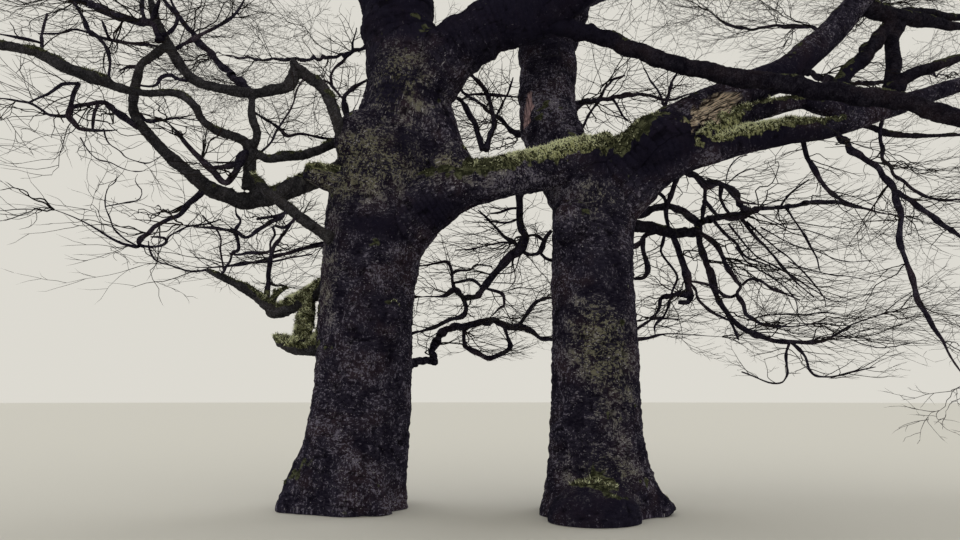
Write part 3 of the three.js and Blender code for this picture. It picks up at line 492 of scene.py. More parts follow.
def makeChain(path, perSpan=3):    # straight steps along a path
    along = numpy.linspace(0, 1, perSpan * path["spans"] + 1)
    corners = placeAt(path, along)
    headings = headingAt(path, along)
    sides = ringSides(headings)
    steps = numpy.linalg.norm(numpy.diff(corners, axis=0), axis=1)
    return {"corners": corners, "radii": radiusAt(path, along), "sides": sides,
            "overs": numpy.cross(sides, headings), "run": numpy.concatenate([[0], numpy.cumsum(steps)]),
            "low": corners.min(axis=0), "high": corners.max(axis=0)}


def nearest(chain, points, fromSurface):    # distance, step and share of the nearest place
    least = numpy.full(len(points), numpy.inf)
    step = numpy.zeros(len(points), int)
    part = numpy.zeros(len(points))
    corners, radii = chain["corners"], chain["radii"]
    for index in range(len(corners) - 1):
        line = corners[index + 1] - corners[index]
        away = points - corners[index]
        share = numpy.clip(away @ line / line.dot(line), 0, 1)
        away -= share[:, None] * line
        apart = numpy.sqrt(numpy.einsum("ij,ij->i", away, away))
        if fromSurface:
            apart -= radii[index] + (radii[index + 1] - radii[index]) * share
        closer = apart < least
        least[closer] = apart[closer]
        step[closer] = index
        part[closer] = share[closer]
    return least, step, part


def drawnPaths(limbs):
    return [drawnPath(bends) for bends in limbs]


def wayAlong(along, length, seed):    # where to read the noise that bends a limb
    return numpy.column_stack([along * length, numpy.full(len(along), seed), numpy.zeros(len(along))])


def bentAside(places, sides, overs, way, cell, fade):
    places = places + fade * sides * swing(way, cell, 1)[:, None]
    return places + fade * overs * swing(way, cell, 2)[:, None]


# Every limb's path

crown = {"foot": 0.48, "tip": 0.095, "sag": 0.28, "stem": 1.55}
limbPaths = {name: [drawnPath(stem["bends"])] for name, stem in stems.items()}
limbPaths.update({name: [drawnPath(bends)] for name, bends in boughs.items()})
limbPaths.update({name: drawnPaths(parts) for name, parts in thinBoughs.items()})
for index, (leader, along, bearing, reach, rise) in enumerate(crownBoughs):
    parent = limbPaths[leader][0]
    angle = math.radians(bearing)
    outward = numpy.array([math.cos(angle), math.sin(angle), 0]) * reach * millimetre
    aside = numpy.array([-outward[1], outward[0], 0])
    upward = numpy.array([0, 0, rise * millimetre])
    start = placeAt(parent, along)[0]
    bends = [start + out * outward + sideways * aside + up * upward for out, sideways, up in crownShape]
    foot = radiusAt(parent, along)[0] * crown["foot"]
    path = makePath(bends, numpy.linspace(foot, crown["tip"], len(bends)))
    limbPaths["crown_bough_%d" % (index + 1)] = [path]
    heading = headingAt(path, 1)[0]
    sagging = unit(heading - (0, 0, crown["sag"]))
    first = placeAt(path, 0.99)[0]
    second = first + heading * crown["stem"]
    stemBends = numpy.concatenate([first, second, second + sagging * crown["stem"]])
    masses["twigs_crown_%d" % (index + 1)] = [stemBends / millimetre / 10, 11, 2300, 0.1, 58, 90, 22]
crownTwigs = ["twigs_crown_%d" % (index + 1) for index in range(len(crownBoughs))]
limbChains = {name: makeChain(paths[0]) for name, paths in limbPaths.items()}
stemPaths = {name: drawnPath(plan[0], *plan[5:]) for name, plan in masses.items()}
stemChains = {name: makeChain(path) for name, path in stemPaths.items()}
photoPaths = {name: drawnPaths(limbs) for name, limbs in photoLimbs.items()}
photoChains = {name: [makeChain(path, 1) for path in paths] for name, paths in photoPaths.items()}
windings = {"step": 0.07, "cell": 0.18, "knobCell": 0.11, "knob": 0.55, "slimmer": 0.82,
            "tracedStem": 0.022, "guessedStem": 0.045, "limb": 0.014}


def windPath(path, seed, near, thinning=0.75):    # the same path with small bends and knobs
    length = makeChain(path)["run"][-1]
    along = numpy.linspace(0, 1, max(5, int(length / windings["step"])))
    points = placeAt(path, along)
    sides = ringSides(headingAt(path, along))
    overs = numpy.cross(sides, headingAt(path, along))
    way = wayAlong(along, length, seed * 1.7)
    fade = (near * smoothStep(along, 0, 0.08) * smoothStep(1.05 - along, 0, 0.08) * 2)[:, None]
    points = bentAside(points, sides, overs, way, windings["cell"], fade)
    knobs = 1 + windings["knob"] * smoothStep(softNoise(way, windings["knobCell"], 3), 0.48, 0.85)
    taper = 1 - thinning * smoothStep(along, 0.78, 1.0)
    return makePath(points, radiusAt(path, along) * knobs * taper * windings["slimmer"])


windingStems = {}
for number, (name, path) in enumerate(stemPaths.items()):
    near = windings["tracedStem"] if len(masses[name]) == 5 else windings["guessedStem"]
    windingStems[name] = windPath(path, number, near)
windingLimbs = {name: [windPath(path, 40 + 7 * number + len(name), windings["limb"], 0.3)
                       for number, path in enumerate(paths)] for name, paths in photoPaths.items()}


# Wood: round tubes drawn along the limbs, grown together, then roughened

def flareAt(flare, height, bearing):
    fade = math.exp(-max(height, 0) / flare["height"])
    return 1 + fade * (flare["reach"] + flare["depth"] * math.cos(flare["lobes"] * bearing + flare["turn"]))


tubeLook = {"bendCell": 0.22, "swellCell": 0.13, "swell": 0.3, "below": -0.12}


def sweepTube(path, sides, spacing, flare=None, wander=0.0, seed=0):    # a round limb
    length = numpy.linalg.norm(numpy.diff(placeAt(path, numpy.linspace(0, 1, 30)), axis=0), axis=1).sum()
    rings = max(4, int(length / spacing))
    along = numpy.linspace(0, 1, rings + 1)
    places, headings, radii = placeAt(path, along), headingAt(path, along), radiusAt(path, along)
    ringSide = ringSides(headings)
    ringOver = numpy.cross(ringSide, headings)
    if wander:
        way = wayAlong(along, length, seed)
        fade = numpy.minimum(1, 8 * numpy.minimum(along, 1.1 - along))[:, None] * radii[:, None] * wander
        places = bentAside(places, ringSide, ringOver, way, tubeLook["bendCell"], fade)
        swelling = softNoise(way, tubeLook["swellCell"], 3) - 0.45
        radii = radii * (1 + tubeLook["swell"] * wander * swelling)
    bm = bmesh.new()
    bearing = bm.verts.layers.float.new("bearing")
    ring = bmesh.ops.create_circle(bm, cap_ends=True, segments=sides, radius=1)["verts"]
    for vert in ring:
        vert[bearing] = math.atan2(vert.co.y, vert.co.x)
    cap = ring[0].link_faces[0]
    for index in range(rings + 1):
        if index:
            made = bmesh.ops.extrude_face_region(bm, geom=[cap], use_keep_orig=index == 1)["geom"]
            ring = [item for item in made if isinstance(item, bmesh.types.BMVert)]
            cap = next(item for item in made if isinstance(item, bmesh.types.BMFace))
        for vert in ring:
            angle = vert[bearing]
            offset = ringSide[index] * math.cos(angle) + ringOver[index] * math.sin(angle)
            widening = flareAt(flare, places[index][2], math.atan2(offset[1], offset[0])) if flare else 1
            vert.co = places[index] + offset * radii[index] * widening
            if flare and index == 0:
                vert.co.z = tubeLook["below"]
    bmesh.ops.recalc_face_normals(bm, faces=bm.faces)
    return bm


def newObject(name, mesh):
    piece = bpy.data.objects.new(name, mesh)
    bpy.context.scene.collection.objects.link(piece)
    return piece


def inOneMesh(name, tubes):
    whole = bmesh.new()
    for bm in tubes:
        part = bpy.data.meshes.new("part")
        bm.to_mesh(part)
        bm.free()
        whole.from_mesh(part)
        bpy.data.meshes.remove(part)
    mesh = bpy.data.meshes.new(name)
    whole.to_mesh(mesh)
    whole.free()
    return mesh


def growTogether(name, tubes, look):    # one closed skin over many tubes
    rough = inOneMesh(name, tubes)
    piece = newObject(name, rough)
    skin = piece.modifiers.new("skin", "REMESH")
    skin.mode = "VOXEL"
    skin.voxel_size = look["voxel"]
    softer = piece.modifiers.new("softer", "SMOOTH")
    softer.factor = 0.5
    softer.iterations = look["ease"]
    shown = piece.evaluated_get(bpy.context.evaluated_depsgraph_get())
    mesh = bpy.data.meshes.new_from_object(shown)
    bpy.data.objects.remove(piece)
    bpy.data.meshes.remove(rough)
    return mesh


def readPoints(mesh):
    found = []
    for items, what in ((mesh.vertices, "co"), (mesh.vertex_normals, "vector")):
        values = numpy.zeros(len(items) * 3, numpy.float32)
        items.foreach_get(what, values)
        found.append(values.reshape(-1, 3).astype(float))
    return found


def grainOf(points, chains):    # place across and along the nearest limb, and that limb's radius
    best = numpy.full(len(points), numpy.inf)
    grain = numpy.zeros((len(points), 3))
    radius = numpy.zeros(len(points))
    for index, chain in enumerate(chains):
        margin = chain["radii"].max() * 1.6 + 0.3
        close = numpy.all((points > chain["low"] - margin) & (points < chain["high"] + margin), axis=1)
        if not close.any():
            continue
        near = numpy.nonzero(close)[0]
        apart, step, part = nearest(chain, points[near], True)
        closer = apart < best[near]
        rows, step, part = near[closer], step[closer], part[closer][:, None]
        best[rows] = apart[closer]
        foot, side, over = (chain[key][step] * (1 - part) + chain[key][step + 1] * part
                            for key in ("corners", "sides", "overs"))
        away = points[rows] - foot
        run = chain["run"][step] + part[:, 0] * (chain["run"][step + 1] - chain["run"][step])
        grain[rows] = numpy.column_stack([(away * side).sum(axis=1), (away * over).sum(axis=1), run])
        grain[rows] += index * 3.1
        radius[rows] = chain["radii"][step] * (1 - part[:, 0]) + chain["radii"][step + 1] * part[:, 0]
    return grain, radius


# Places on the wood that the weather and old breaks have marked, in metres
scars = {
    "torn": {"centre": (5.31, -0.76, 5.67), "axis": (0.80, 0.05, 0.56),
             "long": 0.52, "wide": 0.17, "depth": 0.09},
    "bare": {"centre": (2.66, 0.30, 6.12), "axis": (0.05, 0, 1), "long": 0.3, "wide": 0.12, "depth": 0.03},
}
# Where moss grows thick: centre, radii, strength and how much painted highlight its moss gets
mossSpots = [
    [(2.0, -0.65, 4.85), (0.7, 0.5, 0.34), 1.2, 0.05], [(2.95, -0.6, 5.22), (0.7, 0.45, 0.26), 1.6, 0.85],
    [(3.95, -0.75, 5.32), (0.55, 0.45, 0.38), 1.5, 0.0], [(5.1, -0.75, 5.15), (0.5, 0.3, 0.3), 0.9, 0.4],
    [(5.7, -0.9, 5.42), (0.8, 0.35, 0.28), 1.5, 0.75], [(6.7, -0.7, 5.6), (0.6, 0.3, 0.25), 0.6, 0.1],
    [(6.4, -0.7, 5.85), (0.6, 0.3, 0.3), 0.7, 0.1], [(-0.55, -0.6, 4.85), (0.35, 0.4, 0.3), 0.8, 0.5],
    [(-0.9, -0.1, 3.15), (0.6, 0.5, 0.4), 1.0, 0.3], [(-0.72, -0.1, 2.6), (0.3, 0.4, 0.5), 1.3, 0.2],
    [(-0.9, -0.1, 2.4), (0.5, 0.4, 0.3), 1.3, 0.4], [(3.33, -1.15, 0.48), (0.45, 0.3, 0.07), 0.9, 0.3],
    [(4.65, -1.0, 5.22), (0.38, 0.3, 0.34), -1.2, 0], [(-1.2, -0.75, 4.45), (0.5, 0.4, 0.25), 0.4, 0.2],
]
# Where lichen and algae tint the bark: centre, radii and strength
tintSpots = [
    [(0.0, -0.7, 4.85), (0.8, 0.6, 0.55), 1.0], [(0.7, -0.6, 6.2), (0.6, 0.6, 0.7), 0.7],
    [(1.6, -0.6, 4.9), (0.8, 0.5, 0.35), 0.6], [(3.7, -0.9, 1.9), (0.5, 0.5, 1.0), 0.55],
    [(3.4, -0.8, 2.4), (0.4, 0.5, 0.6), 0.5], [(-0.35, -0.6, 3.2), (0.3, 0.6, 0.8), 0.5],
    [(3.4, -1.2, 0.5), (0.8, 0.6, 0.4), 0.5], [(3.55, -0.6, 4.4), (0.4, 0.5, 0.4), 0.5],
]
# Painted shade: hollows and shaded places darkened in colour, such as below the root hump, the burl and the
# backlit upper boughs; a negative strength keeps a place from darkening and gives it more pale flecks
paintedShadeSpots = [
    [(0.55, -0.7, 6.0), (0.25, 0.4, 0.2), 0.9], [(0.75, -0.7, 5.2), (0.22, 0.4, 0.2), 0.7],
    [(4.35, -0.6, 5.2), (0.42, 0.5, 0.5), 1.0], [(0.3, -0.7, 3.95), (0.5, 0.5, 0.18), 0.8],
    [(1.3, -0.5, 4.2), (0.7, 0.6, 0.3), 0.8], [(3.75, -0.6, 4.9), (0.6, 0.6, 0.25), 0.8],
    [(0.2, -0.2, 8.2), (1.1, 1.5, 1.3), 1.2], [(0.1, 0, 10.2), (1.2, 1.5, 1.6), 1.2],
    [(2.3, -0.6, 7.5), (1.5, 1.2, 0.8), 1.2], [(4.4, -1.4, 8.6), (1.5, 1.4, 1.5), 1.2],
    [(4.6, -0.95, 5.25), (0.6, 0.6, 0.5), 0.55], [(3.33, -1.4, 0.2), (1.0, 0.5, 0.45), 0.75],
    [(6.2, -0.95, 5.2), (1.7, 0.4, 0.17), 1.1], [(7.4, -0.5, 6.3), (1.5, 0.7, 0.6), 1.0],
    [(2.5, -0.6, 4.65), (0.9, 0.5, 0.28), -0.8], [(0.4, -0.7, 2.6), (0.3, 0.5, 0.5), 0.5],
    [(3.55, -0.9, 3.3), (0.5, 0.5, 0.25), 0.5], [(2.95, 0.2, 6.2), (0.5, 0.6, 0.9), -0.5],
]


def spotShare(points, spot):    # a spot's strength, which fades with distance
    return numpy.exp(-(((points - spot[0]) / spot[1]) ** 2).sum(axis=1)) * spot[2]


def scarShare(points, scar):    # 1 in the middle of a scar and 0 at its edge
    away = points - scar["centre"]
    axis = unit(numpy.array(scar["axis"], float))
    run = away @ axis
    across = numpy.linalg.norm(away - run[:, None] * axis, axis=1)
    edge = 0.9 * swing(points, 0.09, 5)
    return 1 - numpy.sqrt((run / scar["long"]) ** 2 + (across / scar["wide"]) ** 2) + edge


# Sizes of the bark's forms, across the limb twice and along it, and how they show
barkForms = {
    "swell": 0.6, "smallSwell": 0.23, "fold": (0.42, 0.42, 0.09), "plate": (0.13, 0.13, 0.055),
    "flake": (0.07, 0.07, 0.036), "split": (0.16, 0.16, 0.1),
    "folded": 0.6, "plated": 0.9, "flaked": 0.9, "parted": 0.7, "swollen": 1.8,
}


def roughen(mesh, chains, look):    # bark relief, and the values that colour it
    points, normals = readPoints(mesh)
    grain, radius = grainOf(points, chains)
    size, height = look["size"], look["height"] * numpy.clip(radius / look["full"], 0.35, 1)
    swell = softNoise(points, barkForms["swell"] * size, 1)
    swell = swell + 0.5 * softNoise(points, barkForms["smallSwell"] * size, 2) - 0.75
    cells = {key: numpy.array(barkForms[key]) * size for key in ("fold", "plate", "flake", "split")}
    fold = smoothStep(ridges(grain, cells["fold"], 3), 0.5, 1)
    plate, flake = swing(grain, cells["plate"], 4), swing(grain, cells["flake"], 5)
    split = smoothStep(ridges(grain, cells["split"], 6), 0.86, 1.0)
    relief = barkForms["folded"] * fold + barkForms["plated"] * plate + barkForms["flaked"] * flake
    relief = relief - barkForms["parted"] * split
    torn = scarShare(points, scars["torn"])
    bare = scarShare(points, scars["bare"])
    scarred = numpy.maximum(smoothStep(torn, 0, 0.2), smoothStep(bare, 0, 0.3))
    lip = 0.5 * smoothStep(-torn, 0.4, 0.0) * (torn < 0)
    depth = scars["torn"]["depth"] * (smoothStep(torn, 0, 0.5) - lip)
    depth += scars["bare"]["depth"] * smoothStep(bare, 0, 0.4)
    moved = height * (relief + barkForms["swollen"] * swell) * (1 - 0.8 * scarred) - depth
    mossy = 0.55 * normals[:, 2] + 0.9 * swing(points, 0.3, 8) + 0.9 * swing(points, 0.08, 9)
    for spot in mossSpots:
        mossy += spotShare(points, spot) * (0.6 + 0.7 * normals[:, 2])
    moss = smoothStep(mossy, look["mossFrom"], look["mossFrom"] + 0.45) * (1 - scarred)
    moved += moss * look["mossDepth"] * (0.4 + softNoise(points, 0.05, 10))
    moved *= smoothStep(points[:, 2], 0.0, 0.08)
    points += normals * moved[:, None]
    mesh.vertices.foreach_set("co", points.ravel())
    # crackShade is painted shade where the relief sinks into cracks
    values = {"moss": moss, "crackShade": smoothStep(-relief, 0.2, 0.8),
              "torn": smoothStep(torn, -0.02, 0.12), "bare": smoothStep(bare, 0, 0.25),
              "tint": sum(spotShare(points, spot) for spot in tintSpots),
              # shade: painted shade from the spots listed above
              "shade": sum(spotShare(points, spot) for spot in paintedShadeSpots),
              "mossHighlight": sum(spotShare(points, spot) * spot[3] for spot in mossSpots)}
    for name, value in values.items():
        mesh.attributes.new(name, "FLOAT", "POINT").data.foreach_set("value", value)
    mesh.attributes.new("grain", "FLOAT_VECTOR", "POINT").data.foreach_set("vector", grain.ravel())
    mesh.update()


def cutOut(mesh, name, planes):    # the closed part of a mesh that lies inside some planes
    bm = bmesh.new()
    bm.from_mesh(mesh)
    for place, normal in planes:
        everything = list(bm.verts) + list(bm.edges) + list(bm.faces)
        cut = bmesh.ops.bisect_plane(bm, geom=everything, dist=0.0001, plane_co=place,
                                     plane_no=normal, clear_outer=True)["geom_cut"]
        rim = [item for item in cut if isinstance(item, bmesh.types.BMEdge)]
        lids = bmesh.ops.triangle_fill(bm, edges=rim, use_beauty=True)["geom"]
        for edge in rim:
            edge.smooth = False
        lids = [item for item in lids if isinstance(item, bmesh.types.BMFace)]
        bmesh.ops.recalc_face_normals(bm, faces=lids)
    made = bpy.data.meshes.new(name)
    bm.to_mesh(made)
    bm.free()
    made.shade_smooth()
    return made


pieces = {}


def addPiece(name, mesh, nodes):    # a finished mesh in place of the source's solids
    pieces[name] = newObject(name, mesh)
    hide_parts(*nodes)


# The voxel and smoothing of each kind of wood, the size and height of its bark, the radius at
# which the bark is at its full height, and where and how deep moss grows
wood = {"voxel": 0.027, "ease": 14, "size": 1.0, "height": 0.019, "full": 0.5,
        "mossFrom": 0.42, "mossDepth": 0.012}
thin = {"voxel": 0.017, "ease": 4, "size": 0.5, "height": 0.011, "full": 0.12,
        "mossFrom": 0.4, "mossDepth": 0.012}
high = {"voxel": 0.036, "ease": 2, "size": 0.8, "height": 0.012, "full": 0.2,
        "mossFrom": 0.6, "mossDepth": 0.01}
tubes = []
for name, stem in stems.items():
    tubes.append(sweepTube(limbPaths[name][0], 40, 0.15, flare=stem["flare"]))
    tubes += [sweepTube(path, 20, 0.12) for path in drawnPaths(stem["lumps"])]
for name in boughs:
    tubes.append(sweepTube(limbPaths[name][0], 32, 0.16, wander=0.25, seed=len(tubes)))
tubes.append(sweepTube(drawnPath(mossyFork), 16, 0.1))
# A swelling where the boughs have grown together, roots at the feet and knobs on the stems
roots = [
    [390, -45, 62, 120,  408, -54, 33, 190,  430, -62, -6, 270],
    [325, -55, 90, 150,  310, -70, 40, 190,  296, -80, -6, 240],
    [-45, -20, 90, 160,  -60, -26, 40, 200,  -70, -30, -6, 250],
    [30, -45, 70, 150,  42, -54, 30, 180,  52, -60, -6, 220],
    [370, 15, 80, 170,  385, 35, 35, 210,  395, 48, -6, 260],
    [-15, 45, 80, 170,  -25, 60, 35, 210,  -30, 68, -6, 250],
]
tubes += [sweepTube(path, 16, 0.1) for path in drawnPaths(roots)]
knots = [
    [(4.55, -0.5, 5.24), (0.52, 0.5, 0.45)], [(3.33, -1.15, 0.02), (0.6, 0.5, 0.46)],
    [(2.98, -0.72, 1.0), (0.16, 0.16, 0.2)], [(0.1, -0.42, 5.3), (0.4, 0.3, 0.5)],
    [(3.25, -0.55, 4.0), (0.3, 0.3, 0.35)], [(0.62, -0.55, 2.6), (0.2, 0.2, 0.3)],
]
for place, radii in knots:
    bm = bmesh.new()
    made = bmesh.ops.create_icosphere(bm, subdivisions=3, radius=1)["verts"]
    bmesh.ops.scale(bm, vec=radii, verts=made)
    bmesh.ops.translate(bm, vec=place, verts=made)
    tubes.append(bm)
woodMesh = growTogether("wood", tubes, wood)
woodChains = [makeChain(limbPaths[name][0], 8) for name in [*stems, *boughs]]
roughen(woodMesh, woodChains, wood)
print("wood", len(woodMesh.polygons))

# The wood is cut where its pieces meet: each piece's planes, and the nodes that it replaces
left, right, up, down = (-1, 0, 0), (1, 0, 0), (0, 0, 1), (0, 0, -1)
ground, middle, fork = (0, 0, 0), (2.4, 0, 0), (4.78, 0, 0)
leftTop, rightTop = (0, 0, 5.65), (0, 0, 6.0)
woodPieces = {
    "left_stem": [[(ground, down), (middle, right), (leftTop, up)], ["stem_left", "joining_bough"]],
    "left_leader": [[(middle, right), (leftTop, down)], ["leader_left", "arch_bough"]],
    "right_stem": [[(ground, down), (middle, left), (fork, right), (rightTop, up)], ["stem_right"]],
    "right_leader": [[(middle, left), (fork, right), (rightTop, down)], ["leader_right"]],
    "right_boughs": [[(fork, left)], ["torn_bough", "mossy_bough"]],
}
for name, (planes, nodes) in woodPieces.items():
    addPiece(name, cutOut(woodMesh, name, planes), nodes)
print("wood pieces", {name: len(piece.data.polygons) for name, piece in pieces.items()})

thinPieces = {
    "left_limbs": ["elbow_foot", "elbow_arm", "low_bough", "low_arm", "reaching_bough", "graft_post",
                   "back_bough", "crossing_bough", "snag_bough"],
    "right_limbs": ["long_bough", "right_crook"],
}
# Limbs of the scene's own that grow with them: stubs and short knobs at the left
extraLimbs = {
    "left_limbs": [[-82, -80, 629, 70,  -87, -80, 639, 50,  -88, -80, 647, 26],
                   [-120, -12, 288, 46,  -113, -6, 305, 38,  -101, 0, 316, 26],
                   [-115, -8, 300, 30,  -119, -6, 311, 18],
                   [-202, -84, 444, 80,  -212, -86, 462, 60,  -215, -86, 470, 40],
                   [-130, -70, 438, 110,  -133, -72, 448, 90,  -134, -74, 456, 50]],
    "right_limbs": cornerLimbs,
}
for pieceName, names in thinPieces.items():
    tubes = [sweepTube(path, 16, 0.05, wander=0.8, seed=11 * number + len(names))
             for number, name in enumerate(names) for path in limbPaths[name]]
    extra = drawnPaths(extraLimbs[pieceName])
    tubes += [sweepTube(path, 14, 0.05, wander=0.6, seed=90 + number) for number, path in enumerate(extra)]
    mesh = growTogether(pieceName, tubes, thin)
    paths = [path for name in names for path in limbPaths[name]]
    roughen(mesh, [makeChain(path, 8 if path["spans"] < 9 else 3) for path in paths + extra], thin)
    mesh.shade_smooth()
    addPiece(pieceName, mesh, names)
names = ["crown_bough_%d" % (index + 1) for index in range(len(crownBoughs))]
tubes = [sweepTube(limbPaths[name][0], 14, 0.12, wander=0.6, seed=number)
         for number, name in enumerate(names)]
mesh = growTogether("crown_boughs", tubes, high)
roughen(mesh, [makeChain(limbPaths[name][0], 6) for name in names], high)
mesh.shade_smooth()
addPiece("crown_boughs", mesh, names)
print("limbs", {name: len(piece.data.polygons) for name, piece in pieces.items()})


# Twigs: the part's own rule for the main twigs, carried on to finer ones

goldenTurn, wholeTurn = math.radians(137.5), 6.28
boxLow = numpy.array(cadBox[0]) - 0.1
boxHigh = numpy.array(cadBox[1]) + 0.1


def makeRandom(seed):    # the part's own random numbers, so that its main twigs come again
    state = seed

    def draw():
        nonlocal state
        state = (state * 48271) % 2147483647
        return state / 2147483647
    return draw


def branchOff(headings, spread, turn):    # headings turned aside by spread and round by turn
    headings = numpy.atleast_2d(headings)
    steep = numpy.abs(headings[..., 2:]) > 0.95
    upward = numpy.where(steep, numpy.array([1.0, 0, 0]), numpy.array([0, 0, 1.0]))
    side = unit(numpy.cross(headings, upward))
    over = numpy.cross(side, headings)
    spread, turn = numpy.asarray(spread)[..., None], numpy.asarray(turn)[..., None]
    return (headings * numpy.cos(spread) + side * numpy.sin(spread) * numpy.cos(turn)
            + over * numpy.sin(spread) * numpy.sin(turn))


# How low the twigs of some masses come, and how clear twigs keep of other masses and of limbs
clearOf = {"masses": 0.07, "limbs": 0.045, "ground": 0.06}
lowest = {"twigs_low_back": 2.15, "twigs_hanging": 2.3, "twigs_right_droop": 2.2, "twigs_right_inner": 2.3,
          "twigs_right_sweep": 1.85, "twigs_snag": 2.9, "twigs_crossing": 3.0}


def fits(name, points, reach, gap=clearOf["masses"]):    # whether points keep to their mass's space
    own = nearest(stemChains[name], points, False)[0]
    for chain in photoChains.get(name, []):
        own = numpy.minimum(own, nearest(chain, points, False)[0])
    good = (points[:, 2] > lowest.get(name, clearOf["ground"])) & (own < reach)
    good &= numpy.all((points > boxLow) & (points < boxHigh), axis=1)
    low, high = points.min(axis=0), points.max(axis=0)
    widest = own.max() + gap
    for other, chain in stemChains.items():
        apart = numpy.maximum(chain["low"] - high, low - chain["high"]).max()
        if other == name or apart > widest:
            continue
        good &= nearest(chain, points, False)[0] >= own + gap
    for chain in limbChains.values():
        thickest = chain["radii"].max() + 0.05
        if numpy.maximum(chain["low"] - high, low - chain["high"]).max() > thickest:
            continue
        good &= nearest(chain, points, True)[0] >= clearOf["limbs"]
    return good


# Where on its stem a main twig starts, how flat its layer is, and its radius against the stem's
mainRule = {"from": 0.14, "over": 0.83, "level": 0.6, "thickness": 0.3, "least": 0.006, "most": 0.015}
drifting = 0.06    # the finer twigs sweep on the way that their stem goes
mainPoints = 13    # along each main twig


def mainTwigs(name, seed, count, longer=1.0):    # paths of the main twigs, as the part draws them
    reach, lift, spread = masses[name][2] * millimetre, masses[name][3], masses[name][4]
    stem, flatter = stemPaths[name], (1, 1, mainRule["level"])
    random = makeRandom(seed)
    paths = []
    for index in range(count):
        along = mainRule["from"] + mainRule["over"] * index / (count - 1)
        turn = index * goldenTurn + random()
        angle = math.radians(spread) * (0.8 + 0.4 * random())
        length = reach * (1 - 0.5 * along) * (0.75 + 0.5 * random()) * longer
        bend = numpy.array([random() - 0.5, random() - 0.5, random() - 0.5 + lift])
        random(), random()    # the part's side twigs draw these two
        start = placeAt(windingStems[name], along)[0]
        first = unit(branchOff(headingAt(stem, along), angle, turn)[0] * flatter)
        second = unit(first + 0.9 * bend * flatter)
        knee = start + first * length / 2
        foot = max(radiusAt(stem, along)[0] * mainRule["thickness"], mainRule["least"])
        foot = min(foot, mainRule["most"])
        path = makePath([start, knee, knee + second * length / 2], [foot, foot * 0.65, foot * 0.3])
        tests = max(2, math.ceil(length / 0.06))
        places = placeAt(path, numpy.arange(1, tests + 1) / tests)
        if fits(name, places, 2 * reach).all():
            paths.append(path)
    return paths


endLook = {"twigs": 3, "spread": 0.25, "bend": 0.3, "radii": [0.013, 0.009, 0.005]}


def endTwigs(name, random):    # the twigs that carry a stem's tip on
    stem, reach = windingStems[name], masses[name][2] * millimetre
    start, heading = placeAt(stem, 0.96)[0], headingAt(stem, 1)[0]
    paths = []
    for turn in range(endLook["twigs"]):
        leave = unit(heading + random.randn(3) * endLook["spread"])
        knee = numpy.clip(start + leave * reach * (0.24 + 0.1 * random.rand()), boxLow, boxHigh)
        onward = unit(leave + random.randn(3) * endLook["bend"])
        end = numpy.clip(knee + onward * reach * (0.26 + 0.14 * random.rand()), boxLow, boxHigh)
        paths.append(makePath([start, knee, end], endLook["radii"]))
    return paths


# Twigs on twigs, from the thickest down: how many each bears, their length and thickness as
# shares of the parent's, how they wander, and how full a cell of air may get beside the plan
finer = [
    {"each": 9, "length": 0.85, "thickness": 0.6, "thickest": 0.0095, "thinnest": 0.0046, "spread": 46,
     "steps": 8, "wander": 0.15, "lift": 0.03, "flat": 0.42, "taper": 0.45, "room": 0.65},
    {"each": 8, "length": 0.6, "thickness": 0.66, "thickest": 0.0062, "thinnest": 0.0035, "spread": 46,
     "steps": 5, "wander": 0.18, "lift": 0.03, "flat": 0.45, "taper": 0.45, "room": 1.0},
    {"each": 3, "length": 0.5, "thickness": 0.72, "thickest": 0.0044, "thinnest": 0.0027, "spread": 44,
     "steps": 2, "wander": 0.22, "lift": 0.03, "flat": 0.5, "taper": 0.45, "room": 1.1},
]
# Main twigs to a mass, metres of twig in a full cell of air, and thickness: in the photo's part
# of the crown and above it
seenPlan = {"mainTwigs": 20, "fill": 0.2, "stouter": 1.0}
highPlan = {"mainTwigs": 18, "fill": 0.125, "stouter": 1.4}
# How full some masses are beside the rest, which are 1
fullness = {"twigs_left_reach": 0.35, "twigs_left_side": 0.4, "twigs_left_under": 0.3,
            "twigs_far_right": 0.6, "twigs_right_fall": 0.5, "twigs_right_level": 0.45,
            "twigs_right_sweep": 0.65, "twigs_window": 0.45, "twigs_hanging": 1.6,
            "twigs_low_back": 1.4, "twigs_right_inner": 1.25, "twigs_crossing": 0.45,
            "twigs_snag": 1.3, "twigs_upper_right": 1.4, "twigs_upper_left": 1.25,
            "twigs_elbow_fork": 1.3, "twigs_elbow_arm": 1.2, "twigs_over_long": 1.5}
topTwigs = ["twigs_torn_bough", "twigs_arch", "twigs_leader_left", "twigs_leader_right"]
airCell = 0.2    # metres
airCells = numpy.ceil((boxHigh - boxLow) / airCell).astype(int) + 1
air = numpy.zeros(airCells.prod())    # metres of twig in each cell of air


def cellsOf(points):
    cells = numpy.clip(((points - boxLow) / airCell).astype(int), 0, airCells - 1)
    return (cells[..., 0] * airCells[1] + cells[..., 1]) * airCells[2] + cells[..., 2]


def withRoom(points, limit):    # the twigs that grow into air that isn't full yet
    cells = cellsOf(points[:, 1:])
    strides = numpy.linalg.norm(points[:, 1] - points[:, 0], axis=1)
    kept = numpy.zeros(len(points), bool)
    for row, spots in enumerate(cells):
        if air[spots].mean() < limit:
            kept[row] = True
            numpy.add.at(air, spots, strides[row])
    return kept


